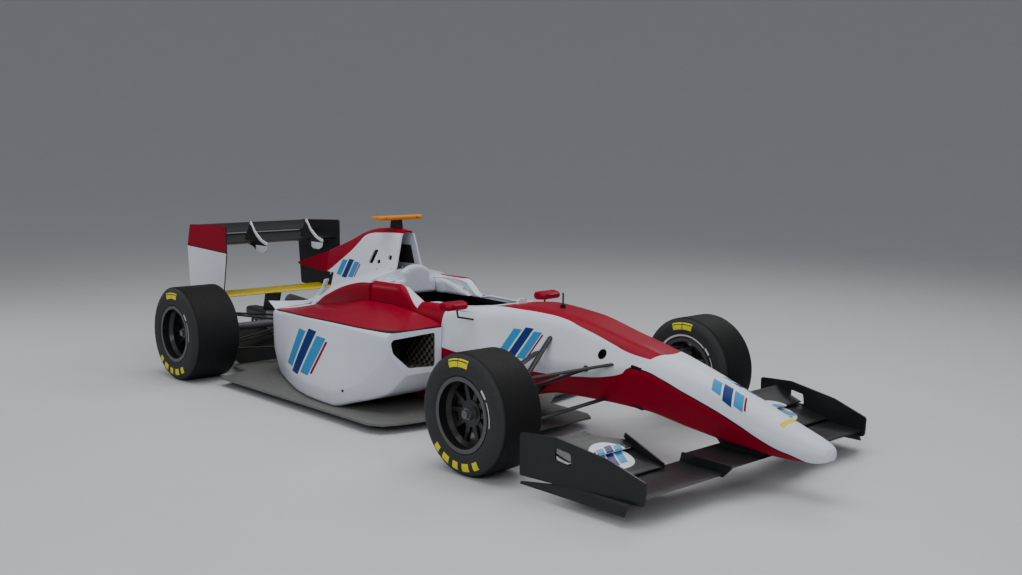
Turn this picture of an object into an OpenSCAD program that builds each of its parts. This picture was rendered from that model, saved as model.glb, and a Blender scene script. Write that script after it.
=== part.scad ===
// Open wheel single seat racing car. X points forward, Y to the left, Z up.
// The origin is on the ground, at the middle of the length.

/* [Overall] */
// Distance between the front and rear axles
wheelbase = 2780; // [2700:10:2900]
// Reach of the nose tip ahead of the front axle
front_overhang = 1352; // [1300:2:1400]
// Reach of the rear wing behind the rear axle
rear_overhang = 716; // [690:2:760]
// Width over the tyres
overall_w = 1880; // [1840:5:1940]
// Height of the camera pod's top above the ground
overall_h = 1072; // [1050:2:1100]

/* [Wheels] */
// Outer diameter of a front tyre
front_tyre_d = 575; // [560:1:590]
// Outer diameter of a rear tyre
rear_tyre_d = 590; // [575:1:605]
// Width of a front tyre over its sidewalls
front_tyre_w = 265; // [255:1:275]
// Width of a rear tyre over its sidewalls
rear_tyre_w = 320; // [310:1:330]
// Diameter of the rims at the bead seat
rim_d = 330; // [326:1:334]
// Number of spokes in a rim
spoke_count = 10; // [8:1:12]
// Diameter of the brake discs
disc_d = 236; // [220:2:244]
// Diameter of the turning spindles
spindle_d = 50; // [44:1:54]

/* [Steering] */
// Distance of a steering axis inboard of its wheel's middle plane
kingpin_inset = 72; // [66:1:78]
// Diameter of the steering pins
kingpin_d = 20; // [16:1:24]
// Reach of a steering arm ahead of its steering axis
steer_arm = 84; // [76:1:90]
// Diameter of the tie rods
tie_rod_d = 18; // [14:1:20]
// Width of the steering wheel
steering_wheel_w = 270; // [250:2:280]
// Diameter of the steering column
column_d = 26; // [20:1:30]

/* [Body] */
// Half width of the tub beside the driver
cockpit_half_w = 300; // [296:1:304]
// Half width of the cockpit opening
opening_half_w = 222; // [214:1:228]
// Wall of the tub
tub_wall = 26; // [20:1:32]
// Wall of the engine cover
cover_wall = 9; // [7:1:12]
// Thickness of the shark fin
fin_t = 12; // [8:1:16]
// Diameter of the aerial
aerial_d = 9; // [6:1:12]
// Height of the camera pod's top above the roll hoop
camera_rise = 80; // [72:1:90]

/* [Floor] */
// Height of the floor's underside above the ground
floor_z = 45; // [40:1:50]
// Thickness of the floor
floor_t = 12; // [10:1:16]
// Half width of the floor
floor_half_w = 805; // [785:1:815]
// Depth of the plank under the floor
plank_t = 12; // [8:1:16]
// Half width of the plank
plank_half_w = 150; // [140:2:160]
// Clearance between the diffuser and the rear tyres
diffuser_tyre_gap = 120; // [100:2:140]

/* [Wings] */
// Half width of the rear wing to its end plates' outer faces
rear_wing_half_w = 457; // [440:1:470]
// Thickness of the rear end plates
rear_plate_t = 10; // [8:1:14]
// Half width of the front wing at the back of its end plates
front_wing_half_w = 904; // [890:1:912]
// Thickness of the front end plates
front_plate_t = 9; // [7:1:12]
// Angle of the front end plates, which stand wider apart at the back
front_plate_flare = 5.3; // [4:0.1:6]
// Diameter of the hole in the rear tow eye
tow_eye_d = 40; // [34:1:46]

/* [Hidden] */
$fn = 48;
// Clearance between pieces that sit against each other
seat_gap = 0.3;
// Radial clearance of a turning fit
run_gap = 0.05;

overall_l = front_overhang + wheelbase + rear_overhang;
front_axle_x = overall_l / 2 - front_overhang;
rear_axle_x = front_axle_x - wheelbase;
front_hub_z = front_tyre_d / 2;
rear_hub_z = rear_tyre_d / 2;
front_wheel_y = (overall_w - front_tyre_w) / 2;
rear_wheel_y = (overall_w - rear_tyre_w) / 2;
floor_top = floor_z + floor_t;

// A station measured ahead of the front axle, and one ahead of the rear axle
function fx(s) = front_axle_x + s;
function rx(s) = rear_axle_x + s;

// Stations where the body changes from one panel to the next
nose_seam_x = fx(340);
dash_x = fx(-640);
bulkhead_x = fx(-1575);
cover_end_x = rx(380);

// Stations a share of the way along the nose from its seam, and along the tail from the bulkhead
function nose_at(share) = nose_seam_x + (fx(front_overhang) - nose_seam_x) * share;
function tail_at(share) = bulkhead_x + (cover_end_x - bulkhead_x) * share;

// Colours of the livery and of the bare pieces
white = [0.80, 0.83, 0.90];
red = [0.72, 0.02, 0.08];
carbon = [0.06, 0.065, 0.07];
floor_grey = [0.20, 0.20, 0.19];
rubber = [0.03, 0.03, 0.032];
rim_black = [0.07, 0.07, 0.075];
steel = [0.45, 0.45, 0.47];
alloy = [0.55, 0.56, 0.58];
yellow = [0.95, 0.80, 0.05];
orange = [0.95, 0.50, 0.05];
pad_grey = [0.72, 0.73, 0.80];
lamp_red = [0.60, 0.02, 0.02];

// Curves and lofts

function unit(v) = v / norm(v);

// A corner of a polygon rounded to radius r by n points; the radius gives way to short sides
function corner(a, b, c, r, n) =
    let (u = unit(a - b), v = unit(c - b), bend = acos(u * v),
        room = 0.48 * min(norm(a - b), norm(c - b)) * tan(bend / 2),
        q = min(r, room), middle = b + unit(u + v) * q / sin(bend / 2),
        first = b + u * q / tan(bend / 2) - middle, last = b + v * q / tan(bend / 2) - middle,
        start = atan2(first[1], first[0]), turn = atan2(last[1], last[0]) - start,
        sweep = turn > 180 ? turn - 360 : turn < -180 ? turn + 360 : turn)
    [for (k = [0 : n - 1]) middle + q * [cos(start + sweep * k / (n - 1)), sin(start + sweep * k / (n - 1))]];

// A polygon with every corner rounded; radii holds one radius for each point
function rounded(points, radii, n = 4) =
    let (count = len(points))
    [for (i = [0 : count - 1])
        each corner(points[(i + count - 1) % count], points[i], points[(i + 1) % count], radii[i], n)];

// Slope of a table's columns at row i, so that a smooth curve passes through them without overshoot
function slope(rows, i) =
    let (p = max(i, 1), q = min(i, len(rows) - 2),
        before = (rows[p] - rows[p - 1]) / (rows[p][0] - rows[p - 1][0]),
        after = (rows[q + 1] - rows[q]) / (rows[q + 1][0] - rows[q][0]))
    [for (c = [0 : len(rows[i]) - 1])
        before[c] * after[c] <= 0 ? 0 : 2 * before[c] * after[c] / (before[c] + after[c])];

// Rows between row i and the next, t of the way along, on a smooth curve
function between(rows, i, t) =
    let (a = rows[i], b = rows[i + 1], d = b[0] - a[0], m = slope(rows, i), k = slope(rows, i + 1))
    (2 * t ^ 3 - 3 * t ^ 2 + 1) * a + (t ^ 3 - 2 * t ^ 2 + t) * d * m
    + (3 * t ^ 2 - 2 * t ^ 3) * b + (t ^ 3 - t ^ 2) * d * k;

// A table with steps - 1 extra rows on the smooth curve between its own
function smooth(rows, steps) =
    [for (i = [0 : len(rows) - 2]) for (k = [0 : steps - 1]) between(rows, i, k / steps),
        rows[len(rows) - 1]];

// A solid through sections that have the same number of points
module loft(sections) {
    count = len(sections[0]);
    last = len(sections) - 1;
    sides = [for (i = [0 : last - 1]) for (j = [0 : count - 1])
        let (a = i * count + j, b = i * count + (j + 1) % count)
        each [[a, b, b + count], [a, b + count, a + count]]];
    caps = [[for (j = [count - 1 : -1 : 0]) j], [for (j = [0 : count - 1]) last * count + j]];
    polyhedron([for (s = sections) each s], concat(sides, caps), convexity = 6);
}

// A plan view outline raised from z to z + h
module slab(z, h, points) {
    translate([0, 0, z]) linear_extrude(h) polygon(points);
}

// A side view outline, in X and Z, as thick as t and centred on y
module panel(y, t, points) {
    translate([0, y + t / 2, 0]) rotate([90, 0, 0]) linear_extrude(t) polygon(points);
}

// A piece and its mirror image on the other side
module both_sides() {
    children();
    mirror([0, 1, 0]) children();
}

// A round rod from a to b
module rod(a, b, d) {
    run = b - a;
    translate(a) rotate([0, acos(run[2] / norm(run)), atan2(run[1], run[0])]) cylinder(d = d, h = norm(run));
}

// A streamlined arm from a to b, its chord along X
module arm(a, b, chord, thick) {
    run = b - a;
    lens = rounded([[-chord / 2, 0], [chord / 8, -thick / 2], [chord / 2, 0], [chord / 8, thick / 2]],
        [thick / 8, thick, thick / 3, thick], 4);
    side = unit(cross(run, [1, 0, 0]));
    ahead = unit(cross(side, run));
    along = unit(run);
    multmatrix([[ahead[0], side[0], along[0], a[0]], [ahead[1], side[1], along[1], a[1]],
        [ahead[2], side[2], along[2], a[2]], [0, 0, 0, 1]])
        linear_extrude(norm(run)) polygon(lens);
}

// A wing's profile in X and Z from its leading edge, for a chord that points back and a tilt nose down
function wing_profile(chord, thick, camber, tilt, n = 8) =
    let (upper = [for (k = [0 : n]) let (t = (k / n) ^ 1.5)
            [-chord * t, thick * 1.6 * sqrt(t) * (1 - t) - camber * 4 * t * (1 - t)]],
        lower = [for (k = [n - 1 : -1 : 1]) let (t = (k / n) ^ 1.5)
            [-chord * t, -thick * 0.7 * sqrt(t) * (1 - t) - camber * 4 * t * (1 - t)]],
        edge = [[-chord, -2.5]])
    [for (p = concat(upper, edge, lower))
        [p[0] * cos(tilt) + p[1] * sin(tilt), -p[0] * sin(tilt) + p[1] * cos(tilt)]];

// A straight wing element between y0 and y1, its leading edge at x, z
module element(x, z, y0, y1, profile) {
    translate([x, y1, z]) rotate([90, 0, 0]) linear_extrude(y1 - y0) polygon(profile);
}

// Nose and tub

// Columns: station, half width at the belly, at the waist and at the crown, heights of the three
seam_size = [141, 174, 108, 259, 446, 560];
nose_rows = [
    [fx(front_overhang), 8, 14, 8, 204, 214, 226],
    [fx(front_overhang - 14), 38, 50, 36, 186, 212, 244],
    [fx(front_overhang - 60), 56, 74, 52, 174, 212, 266],
    [nose_at(0.81), 72, 98, 66, 168, 226, 312],
    [nose_at(0.553), 92, 120, 78, 184, 292, 406],
    [nose_at(0.296), 116, 144, 92, 220, 384, 484],
    [nose_at(0.079), 136, 166, 104, 256, 449, 540],
    concat([nose_seam_x], seam_size)];

// Columns: as for the nose
tub_rows = [
    concat([nose_seam_x - seat_gap], seam_size),
    [fx(200), 150, 190, 116, 262, 440, 590],
    [fx(-100), 170, 222, 140, 258, 420, 652],
    [fx(-400), 190, 250, 166, 190, 400, 670],
    [fx(-640), 210, 275, 200, 110, 400, 645],
    [fx(-860), 230, cockpit_half_w, 236, floor_top + seat_gap, 390, 624],
    [fx(-1160), 240, cockpit_half_w, 262, floor_top + seat_gap, 390, 625],
    [fx(-1330), 240, cockpit_half_w, 266, floor_top + seat_gap, 390, 706],
    [bulkhead_x, 240, cockpit_half_w, 266, floor_top + seat_gap, 390, 706]];

// Six rounded corners from belly to crown, taken in by a wall
function body_section(row, wall = 0, crown_cap = 10000) =
    let (x = row[0], belly = row[1] - wall, waist = row[2] - wall, crown = row[3] - wall,
        low = row[4] + wall, middle = row[5], high = min(row[6] - wall, crown_cap),
        outline = rounded([[-belly, low], [belly, low], [waist, middle], [crown, high], [-crown, high],
            [-waist, middle]], [30, 30, 90, 100, 100, 90], 4))
    [for (p = outline) [x, p[0], p[1]]];

// The outsides of the nose and the tub, grown a little to trim what sits on them
module nose_outside(grow) {
    loft([for (row = smooth(nose_rows, 3)) body_section(row, -grow)]);
}

module tub_outside(grow) {
    loft([for (row = smooth(tub_rows, 2)) body_section(row, -grow)]);
}

module nose_cone() {
    color(white) difference() {
        nose_outside(0);
        for (side = [-1, 1], latch = [[165, 464], [142, 268]])
            translate([nose_seam_x + 34, side * latch[0], latch[1]]) rotate([0, 8, 0]) cube([66, 44, 16],
                center = true);
    }
}

// Plan outline of the cockpit opening, square at the dash and round at the back
opening_front_w = 190;
opening_outline = rounded([[dash_x, -140], [dash_x, 140], [fx(-900), opening_front_w], [fx(-1340),
    opening_half_w],
    [bulkhead_x + 30, opening_half_w], [bulkhead_x + 30, -opening_half_w], [fx(-1340), -opening_half_w],
    [fx(-900), -opening_front_w]], [12, 12, 160, 20, 70, 70, 20, 160], 5);
footwell_ceiling = 590;

// Where a tie rod meets its steering arm on the left side, and the height of the rods
kingpin_y = front_wheel_y - kingpin_inset;
arm_tip = [fx(steer_arm), kingpin_y, front_hub_z + 66];
rod_eye_t = 16;
rod_end = arm_tip + [0, 0, seat_gap + rod_eye_t / 2];
rack_half_l = 115;
rack_end = [arm_tip[0], rack_half_l, 430];
rod_room = 8;

module monocoque() {
    tub_inside = [for (row = smooth(tub_rows, 1))
        if (row[0] < nose_seam_x - 30 && row[0] > bulkhead_x + 1) row];
    front_wall = concat([nose_seam_x - 30], [for (k = [1 : 6]) between(tub_rows, 0, 0.14)[k]]);
    back_wall = concat([bulkhead_x + 30], [for (k = [1 : 6]) tub_rows[len(tub_rows) - 1][k]]);
    color(white) difference() {
        tub_outside(0);
        loft([for (row = concat([front_wall], tub_inside, [back_wall]))
            body_section(row, tub_wall, footwell_ceiling)]);
        slab(footwell_ceiling - 60, 400, opening_outline);
        both_sides() rod(rack_end, rod_end, tie_rod_d + 2 * rod_room);
        both_sides() translate([fx(161), 130, 501]) rotate([-90, 0, 0]) cylinder(d = 44, h = 100);
    }
}

// Wings and end plates at the front

centre_plane = wing_profile(270, 24, 14, 2);
outer_plane = wing_profile(240, 24, 14, 3);
front_flap_lower = wing_profile(190, 15, 12, 14);
front_flap_upper = wing_profile(165, 13, 12, 24);
centre_half_w = 300;
flap_inner_y = 460;
flap_step_y = 632;
plate_back_x = fx(360);

// Places a side view outline on a flared end plate, and all the space beyond an end plate's inner face
module on_plate() {
    translate([plate_back_x, front_wing_half_w, 0]) rotate([0, 0, -front_plate_flare])
        translate([-plate_back_x, 0, 0]) children();
}

module beyond_plate(gap) {
    on_plate() translate([plate_back_x - 300, -front_plate_t - gap, 0]) cube([1200, 300, 500]);
}

// The main plane steps up under the nose; two pylons hang it from the nose
module front_wing() {
    color(carbon) {
        element(fx(1046), 148, -centre_half_w, centre_half_w, centre_plane);
        both_sides() {
            difference() {
                element(fx(1008), 112, centre_half_w - 4, front_wing_half_w + 20, outer_plane);
                beyond_plate(seat_gap);
            }
            panel(centre_half_w, 10, [[fx(1038), 158], [fx(1047), 146], [fx(1002), 100], [fx(800), 100],
                [fx(766), 124], [fx(776), 164], [fx(900), 162]]);
            difference() {
                panel(56, 12, [[fx(1028), 146], [fx(1036), 170], [fx(1000), 230], [fx(810), 240],
                    [fx(784), 190],
                    [fx(820), 152]]);
                nose_outside(seat_gap);
            }
        }
    }
}

// Two flaps; the upper one loses most of its chord inboard of a step
module front_wing_flaps() {
    color(carbon) both_sides() {
        difference() {
            union() {
                element(fx(800), 134, flap_inner_y, front_wing_half_w + 20, front_flap_lower);
                element(fx(632), 190, flap_inner_y, front_wing_half_w + 20, front_flap_upper);
            }
            beyond_plate(seat_gap);
            slab(100, 300, [[fx(400), flap_step_y], [fx(474), flap_step_y], [fx(522), flap_step_y - 46],
                [fx(580), flap_inner_y - 10], [fx(400), flap_inner_y - 10]]);
        }
        panel(flap_inner_y, 8, [[fx(808), 128], [fx(804), 150], [fx(700), 194], [fx(580), 242],
            [fx(572), 222], [fx(622), 172], [fx(760), 132]]);
    }
}

// Side view of an end plate, with its window, and the curled foot plate outboard of it
module front_wing_end_plates() {
    foot_in = front_wing_half_w - 84;
    color(carbon) both_sides() {
        on_plate() difference() {
            panel(-front_plate_t / 2, front_plate_t, rounded([[plate_back_x, 84], [fx(1024), 84],
                [fx(1030), 184], [fx(838), 246], [fx(560), 288], [plate_back_x, 276]], [12, 20, 16, 80,
                60, 14], 4));
            panel(-front_plate_t / 2, front_plate_t * 3, rounded([[fx(560), 190], [fx(650), 176],
                [fx(642), 232], [fx(560), 244]], [10, 10, 10, 10], 4));
        }
        difference() {
            translate([plate_back_x + 6, 0, 0]) rotate([90, 0, 90]) linear_extrude(600)
                polygon(rounded([[foot_in, 94], [foot_in, 86], [foot_in + 48, 84], [foot_in + 78, 44],
                    [foot_in + 87, 46], [foot_in + 56, 92]], [2, 2, 20, 3, 3, 26], 4));
            on_plate() translate([plate_back_x - 300, -300 - front_plate_t / 2, 0]) cube([1200, 300, 500]);
        }
    }
}

// Cockpit

// Pads at the sides, falling to the front, and a domed pad behind the helmet
module headrest() {
    outer = opening_half_w - seat_gap;
    front = fx(-1200);
    outer_front = opening_front_w + (opening_half_w - opening_front_w) * 300 / 440 - seat_gap;
    back = bulkhead_x + 30 + seat_gap;
    dome_half_w = 104;
    dome_l = 47;
    dome_r = 150;
    dome_top = 794;
    color(pad_grey) {
        difference() {
            slab(600, 102, rounded([[front, -outer_front], [front, -outer_front + 34], [back + 110,
                -outer + 50],
                [back + 76, 0], [back + 110, outer - 50], [front, outer_front - 34], [front, outer_front],
                [fx(-1340), outer], [back, outer], [back, -outer], [fx(-1340), -outer]],
                [8, 16, 60, 120, 60, 16, 8, 20, 80, 80, 20], 4));
            panel(0, 600, [[fx(-1150), 590], [fx(-1350), 692], [fx(-1420), 703], [fx(-1420), 800],
                [fx(-1150), 800]]);
        }
        intersection() {
            slab(698, dome_top - 698, [[back, -dome_half_w], [back + dome_l, -dome_half_w],
                [back + dome_l, dome_half_w], [back, dome_half_w]]);
            translate([back, 0, dome_top - dome_r]) rotate([0, 90, 0]) cylinder(r = dome_r, h = dome_l);
        }
    }
}

// The seat's side profile, a thin shell from under the knees up to the shoulders
seat_t = 16;
seat_half_w = 172;
module seat() {
    low = floor_top + tub_wall + 2 * seat_gap;
    color(carbon) {
        panel(0, 2 * seat_half_w, rounded([[fx(-820), low + 60], [fx(-830), low + 60 + seat_t],
            [fx(-1010), low + 34], [fx(-1150), low + seat_t], [fx(-1290), low + 150], [fx(-1400), low + 400],
            [fx(-1420), low + 400], [fx(-1306), low + 130], [fx(-1160), low], [fx(-1000), low + 12]],
            [4, 4, 80, 60, 120, 6, 6, 130, 70, 90], 4));
        both_sides() translate([fx(-1200), 60, low]) cube([120, 40, 24]);
        both_sides() panel(seat_half_w, seat_t, rounded([[fx(-820), low + 60], [fx(-850), low + 130],
            [fx(-1120), low + 170], [fx(-1260), low + 330], [fx(-1390), low + 410], [fx(-1420), low + 400],
            [fx(-1306), low + 130], [fx(-1160), low], [fx(-1000), low + 12]],
            [6, 30, 80, 80, 20, 6, 130, 70, 90], 4));
    }
}

// The steering column leaves the dash level, towards the driver; a small deflector stands ahead of the dash
column_z = 548;
dash_t = 46;
module dash() {
    back = dash_x - seat_gap;
    color(carbon) {
        difference() {
            panel(0, 250, rounded([[back, 500], [back, 640], [back - dash_t - 20, 646], [back - dash_t, 500]],
                [6, 6, 14, 8], 3));
            translate([back - dash_t - 40, 0, column_z]) rotate([0, 90, 0])
                cylinder(d = column_d + 2 * run_gap, h = dash_t + 80);
        }
        difference() {
            translate([dash_x + 50, 0, 0]) rotate([90, 0, 90]) linear_extrude(14)
                polygon(rounded([[-48, 620], [48, 620], [26, 680], [-26, 680]], [2, 2, 12, 12], 4));
            tub_outside(seat_gap);
        }
    }
}

// A flat bottomed wheel with a spoke across it, on its column
module steering_wheel() {
    face_x = dash_x - dash_t - 92;
    half = steering_wheel_w / 2;
    color(carbon) {
        translate([face_x, 0, column_z]) rotate([90, 0, -90]) linear_extrude(24) difference() {
            polygon(rounded([[-half, -62], [half, -62], [half, 74], [-half, 74]], [40, 40, 60, 60], 6));
            both_sides_2d() polygon(rounded([[half * 0.42, -36], [half - 30, -36], [half - 30, 46],
                [half * 0.42, 46]],
                [10, 24, 30, 10], 4));
        }
        translate([face_x, 0, column_z]) rotate([0, 90, 0]) cylinder(d = column_d, h = 92 + dash_t + 10);
    }
}

// A flat outline and its mirror image
module both_sides_2d() {
    children();
    mirror([1, 0]) children();
}

module aerial() {
    color(carbon) difference() {
        translate([fx(-272), 0, 650]) union() {
            cylinder(d = 30, h = 32);
            cylinder(d = aerial_d, h = 94);
        }
        tub_outside(seat_gap);
    }
}

// Columns of a mirror's housing: distance ahead of its middle, half width, half height
mirror_rows = [[76, 40, 9], [66, 58, 16], [40, 74, 22], [4, 80, 24], [-12, 76, 21]];
mirror_y = 350;
mirror_z = 653;

// Each mirror has a rounded housing and a bent stalk down to the tub's side
module mirrors() {
    x = fx(-760);
    knee = [x + 20, mirror_y - 28, 590];
    color(red) both_sides() {
        loft([for (row = mirror_rows)
            [for (p = rounded([[-row[1], -row[2]], [row[1], -row[2]], [row[1], row[2]], [-row[1], row[2]]],
                [18, 18, 18, 18], 4)) [x + row[0], mirror_y + p[0], mirror_z + p[1]]]]);
        rod([x + 20, mirror_y - 16, mirror_z - 13], knee - [0, 1, 4], 10);
        difference() {
            rod(knee, [x + 50, 190, 562], 10);
            tub_outside(seat_gap);
        }
    }
}

// Engine cover, camera and sidepods

// Half width of the cover's foot at a station; the sidepods follow it
cover_tail_half_w = 165;
function cover_w(x) = cockpit_half_w
    + (cover_tail_half_w - cockpit_half_w) * (bulkhead_x - x) / (bulkhead_x - cover_end_x);
function pod_inner(x) = (x > bulkhead_x ? cockpit_half_w : cover_w(x)) + seat_gap;

// Columns: station, shoulder height, neck half width and height, crown half width and height,
// rake of the face, height of the crown's inside
intake_foot_z = 745;
cover_foot_z = 420;
hoop_z = overall_h - camera_rise;
// A height a share of the way from the neck up to the roll hoop
function rise(neck, share) = neck + (hoop_z - neck) * share;
cover_rows = [
    [bulkhead_x - seat_gap, 704, 104, 752, 46, rise(752, 0.958), 0.05, rise(752, 0.921)],
    [tail_at(0.14), 692, 110, 728, 48, rise(728, 1), 0.03, rise(728, 0.966)],
    [tail_at(0.32), 662, 110, 694, 44, rise(694, 0.973), 0, rise(694, 0.943)],
    [tail_at(0.49), 624, 102, 658, 36, rise(658, 0.889), 0, rise(658, 0.862)],
    [tail_at(0.733), 552, 88, 594, 26, rise(594, 0.719), 0, rise(594, 0.643)],
    [cover_end_x, 470, 66, 545, 16, rise(545, 0.584), 0, rise(545, 0.235)]];

// An upside down U: up the right side, over the crown, down the left side and back along the inside
function cover_section(row, wall) =
    let (x = row[0], foot = cover_w(x), inner = foot - wall, neck_in = row[2] - wall,
        crown_in = max(row[4] - wall, 4),
        outline = rounded([[-foot, cover_foot_z], [-foot, row[1]], [-row[2], row[3]], [-row[4], row[5]],
            [row[4], row[5]], [row[2], row[3]], [foot, row[1]], [foot, cover_foot_z],
            [inner, cover_foot_z], [inner, row[1] - wall], [neck_in, row[3] - wall], [crown_in, row[7]],
            [-crown_in, row[7]], [-neck_in, row[3] - wall], [-inner, row[1] - wall], [-inner, cover_foot_z]],
            [2, 60, 50, 40, 40, 50, 60, 2, 2, 52, 58, 32, 32, 58, 52, 2], 3))
    [for (p = outline) [x - row[6] * max(0, p[1] - intake_foot_z), p[0], p[1]]];

// The airbox round the roll hoop and the cover behind it share one row of sections; seam is its place in them
cover_sections = smooth(cover_rows, 2);
airbox_seam = 2;
module airbox() {
    color(white) loft([for (i = [0 : airbox_seam]) cover_section(cover_sections[i], cover_wall)]);
}

module engine_cover() {
    first = cover_section(cover_sections[airbox_seam], cover_wall);
    color(white) loft(concat([[for (p = first) p - [seat_gap, 0, 0]]],
        [for (i = [airbox_seam + 1 : len(cover_sections) - 1]) cover_section(cover_sections[i],
        cover_wall)]));
}

// The shark fin stands against the back edge of the cover
module fin() {
    front = cover_end_x - seat_gap;
    tail = cover_rows[len(cover_rows) - 1];
    color(red) panel(0, fin_t, [[front, tail[5] - 4], [rx(-14), 692], [rx(-8), 680], [rx(290), 656],
        [front, tail[7] + 14]]);
}

pod_x = tail_at(0.14);
module camera_pod() {
    top = overall_h;
    stem_foot = cover_rows[1][5] + seat_gap;
    color(orange) {
        hull() for (y = [-152, 152]) {
            translate([pod_x + 30, y, top - 14]) sphere(d = 28, $fn = 20);
            translate([pod_x - 62, y, top - 12]) sphere(d = 8, $fn = 12);
        }
        panel(0, 34, rounded([[pod_x + 34, stem_foot], [pod_x + 22, top - 20], [pod_x - 40, top - 20],
            [pod_x - 52, stem_foot]], [4, 4, 4, 4], 3));
    }
}

// Columns: station, height and half width of the underside, half width and height of the flank,
// half width and height of the shoulder, height of the deck beside the body
pod_foot = floor_top + seat_gap;
pod_rows = [
    [fx(-905), 274, 545, 655, 400, 676, 510, 526],
    [fx(-990), 165, 612, 660, 330, 674, 512, 548],
    [fx(-1190), 96, 690, 694, 190, 666, 513, 576],
    [fx(-1350), pod_foot, 730, 734, 150, 652, 508, 590],
    [bulkhead_x, pod_foot, 714, 718, 148, 624, 500, 588],
    [tail_at(0.224), pod_foot, 674, 678, 148, 590, 490, 556],
    [tail_at(0.515), pod_foot, 590, 594, 148, 530, 476, 512],
    [tail_at(0.782), pod_foot, 494, 498, 148, 470, 462, 482],
    [cover_end_x, 190, 410, 414, 280, 418, 452, 462]];

function pod_section(row) =
    let (x = row[0], inner = pod_inner(x),
        outline = rounded([[-inner, row[1]], [-inner, row[7]], [-row[5], row[6]], [-row[3], row[4]],
            [-row[2], row[1]]], [3, 6, 34, 120, 20], 4))
    [for (p = outline) [x, p[0], p[1]]];

// Inlet of a sidepod, open to the front and narrowing to the radiator across its end
inlet_outline = rounded([[-346, 300], [-346, 488], [-652, 476], [-632, 402], [-528, 312]], [16, 14, 24,
    50, 40], 4);
inlet_middle = [-480, 400];
inlet_depth = 300;
inlet_taper = 0.96;
radiator_t = 40;

function inlet_section(x, size) = [for (p = inlet_outline)
    let (q = inlet_middle + (p - inlet_middle) * size) [x, q[0], q[1]]];

// The sidepod's skin turns in at the front and lines its inlet
module sidepod() {
    front = pod_rows[0][0];
    color(white) loft(concat([inlet_section(front - inlet_depth, inlet_taper), inlet_section(front, 1)],
        [for (row = smooth(pod_rows, 2)) pod_section(row)]));
}

module sidepod_right() { sidepod(); }
module sidepod_left() { mirror([0, 1, 0]) sidepod(); }

module radiators() {
    back = pod_rows[0][0] - inlet_depth + seat_gap;
    size = inlet_taper * 0.985;
    color(carbon) both_sides() loft([inlet_section(back + radiator_t, size), inlet_section(back, size)]);
}

// Floor, plank and diffuser

rear_gap_y = rear_wheel_y - rear_tyre_w / 2 - 36;
diffuser_half_w = rear_wheel_y - rear_tyre_w / 2 - diffuser_tyre_gap;
floor_half = [[fx(-232), 0], [fx(-232), 190], [fx(-300), 236], [fx(-620), 262], [fx(-740), 420],
    [fx(-796), 690],
    [fx(-828), floor_half_w - 40], [fx(-900), floor_half_w], [rx(346), floor_half_w], [rx(268), rear_gap_y],
    [rx(110), rear_gap_y], [rx(60), diffuser_half_w], [rx(60), 0]];

module floor_plate() {
    outline = concat(floor_half, [for (i = [len(floor_half) - 2 : -1 : 1]) [floor_half[i][0],
        -floor_half[i][1]]]);
    color(floor_grey) slab(floor_z, floor_t, outline);
}

module plank() {
    color(carbon) slab(floor_z - plank_t, plank_t, rounded([[fx(-260), -plank_half_w + 40], [rx(100),
        -plank_half_w],
        [rx(100), plank_half_w], [fx(-260), plank_half_w - 40]], [30, 10, 10, 30], 4));
}

diffuser_end = rx(-330);
diffuser_rise = 165;
module diffuser() {
    front = rx(60) - seat_gap;
    ramp = [[front, floor_z], [front, floor_top], [diffuser_end, floor_top + diffuser_rise],
        [diffuser_end, floor_z + diffuser_rise]];
    color(carbon) {
        panel(0, 2 * diffuser_half_w, ramp);
        both_sides() for (y = [150, 320, diffuser_half_w - 5])
            panel(y, 10, [[front - 60, floor_z + 22], [diffuser_end, floor_z + diffuser_rise + 2],
                [diffuser_end, floor_z + 20], [front - 120, floor_z + 8]]);
    }
}

// Engine, gearbox and tail

engine_half_w = 190;
engine_front = bulkhead_x - seat_gap;
gearbox_front = rx(644);
engine_l = engine_front - gearbox_front - seat_gap;
module engine() {
    color(alloy) difference() {
        translate([engine_front - engine_l, -engine_half_w, floor_top + seat_gap])
            cube([engine_l, 2 * engine_half_w, 400]);
        translate([engine_front - engine_l - 1, -70, 330]) cube([engine_l + 2, 140, 200]);
    }
}

gearbox_end = rx(-290);
gearbox_low = 110;
gearbox_high = 330;
output_r = 60;
shaft_gap = 6;
// The gearbox's casing, narrower to the back and cut away over the diffuser
module gearbox_case(grow) {
    front_w = 150 + grow;
    back_w = 96 + grow;
    difference() {
        slab(gearbox_low - grow, gearbox_high - gearbox_low + 2 * grow, [[gearbox_front, -front_w],
            [gearbox_end, -back_w],
            [gearbox_end, back_w], [gearbox_front, front_w]]);
        panel(0, 600, [[rx(60), floor_top + 6], [diffuser_end, floor_top + diffuser_rise + 6],
            [diffuser_end, 0],
            [rx(60), 0]]);
    }
}

module gearbox() {
    color(alloy) difference() {
        union() {
            gearbox_case(0);
            translate([rx(0), -150, rear_hub_z]) rotate([-90, 0, 0]) cylinder(r = output_r, h = 300);
            translate([gearbox_front, -130, floor_top + seat_gap]) mirror([1, 0, 0]) cube([200, 260,
                gearbox_low]);
        }
        both_sides() translate([rx(0), 100, rear_hub_z]) rotate([-90, 0, 0])
            cylinder(d = spindle_d + 2 * run_gap, h = 100);
    }
}

module exhaust() {
    color(steel) difference() {
        rod([rx(310), 0, gearbox_high + 56], [rx(-130), 0, gearbox_high + 86], 84);
        rod([rx(290), 0, gearbox_high + 57.4], [rx(-180), 0, gearbox_high + 89.4], 74);
    }
    color(steel) panel(0, 20, [[rx(180), gearbox_high + seat_gap], [rx(180), gearbox_high + 25],
        [rx(120), gearbox_high + 29], [rx(120), gearbox_high + seat_gap]]);
}

crash_end = rx(-640);
crash_top = 320;
tow_eye_z = 204;
// Columns: station, half width, height of the underside
crash_rows = [[gearbox_end - seat_gap, 84, 232], [rx(-470), 66, 236], [crash_end, 48, 246]];

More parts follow.
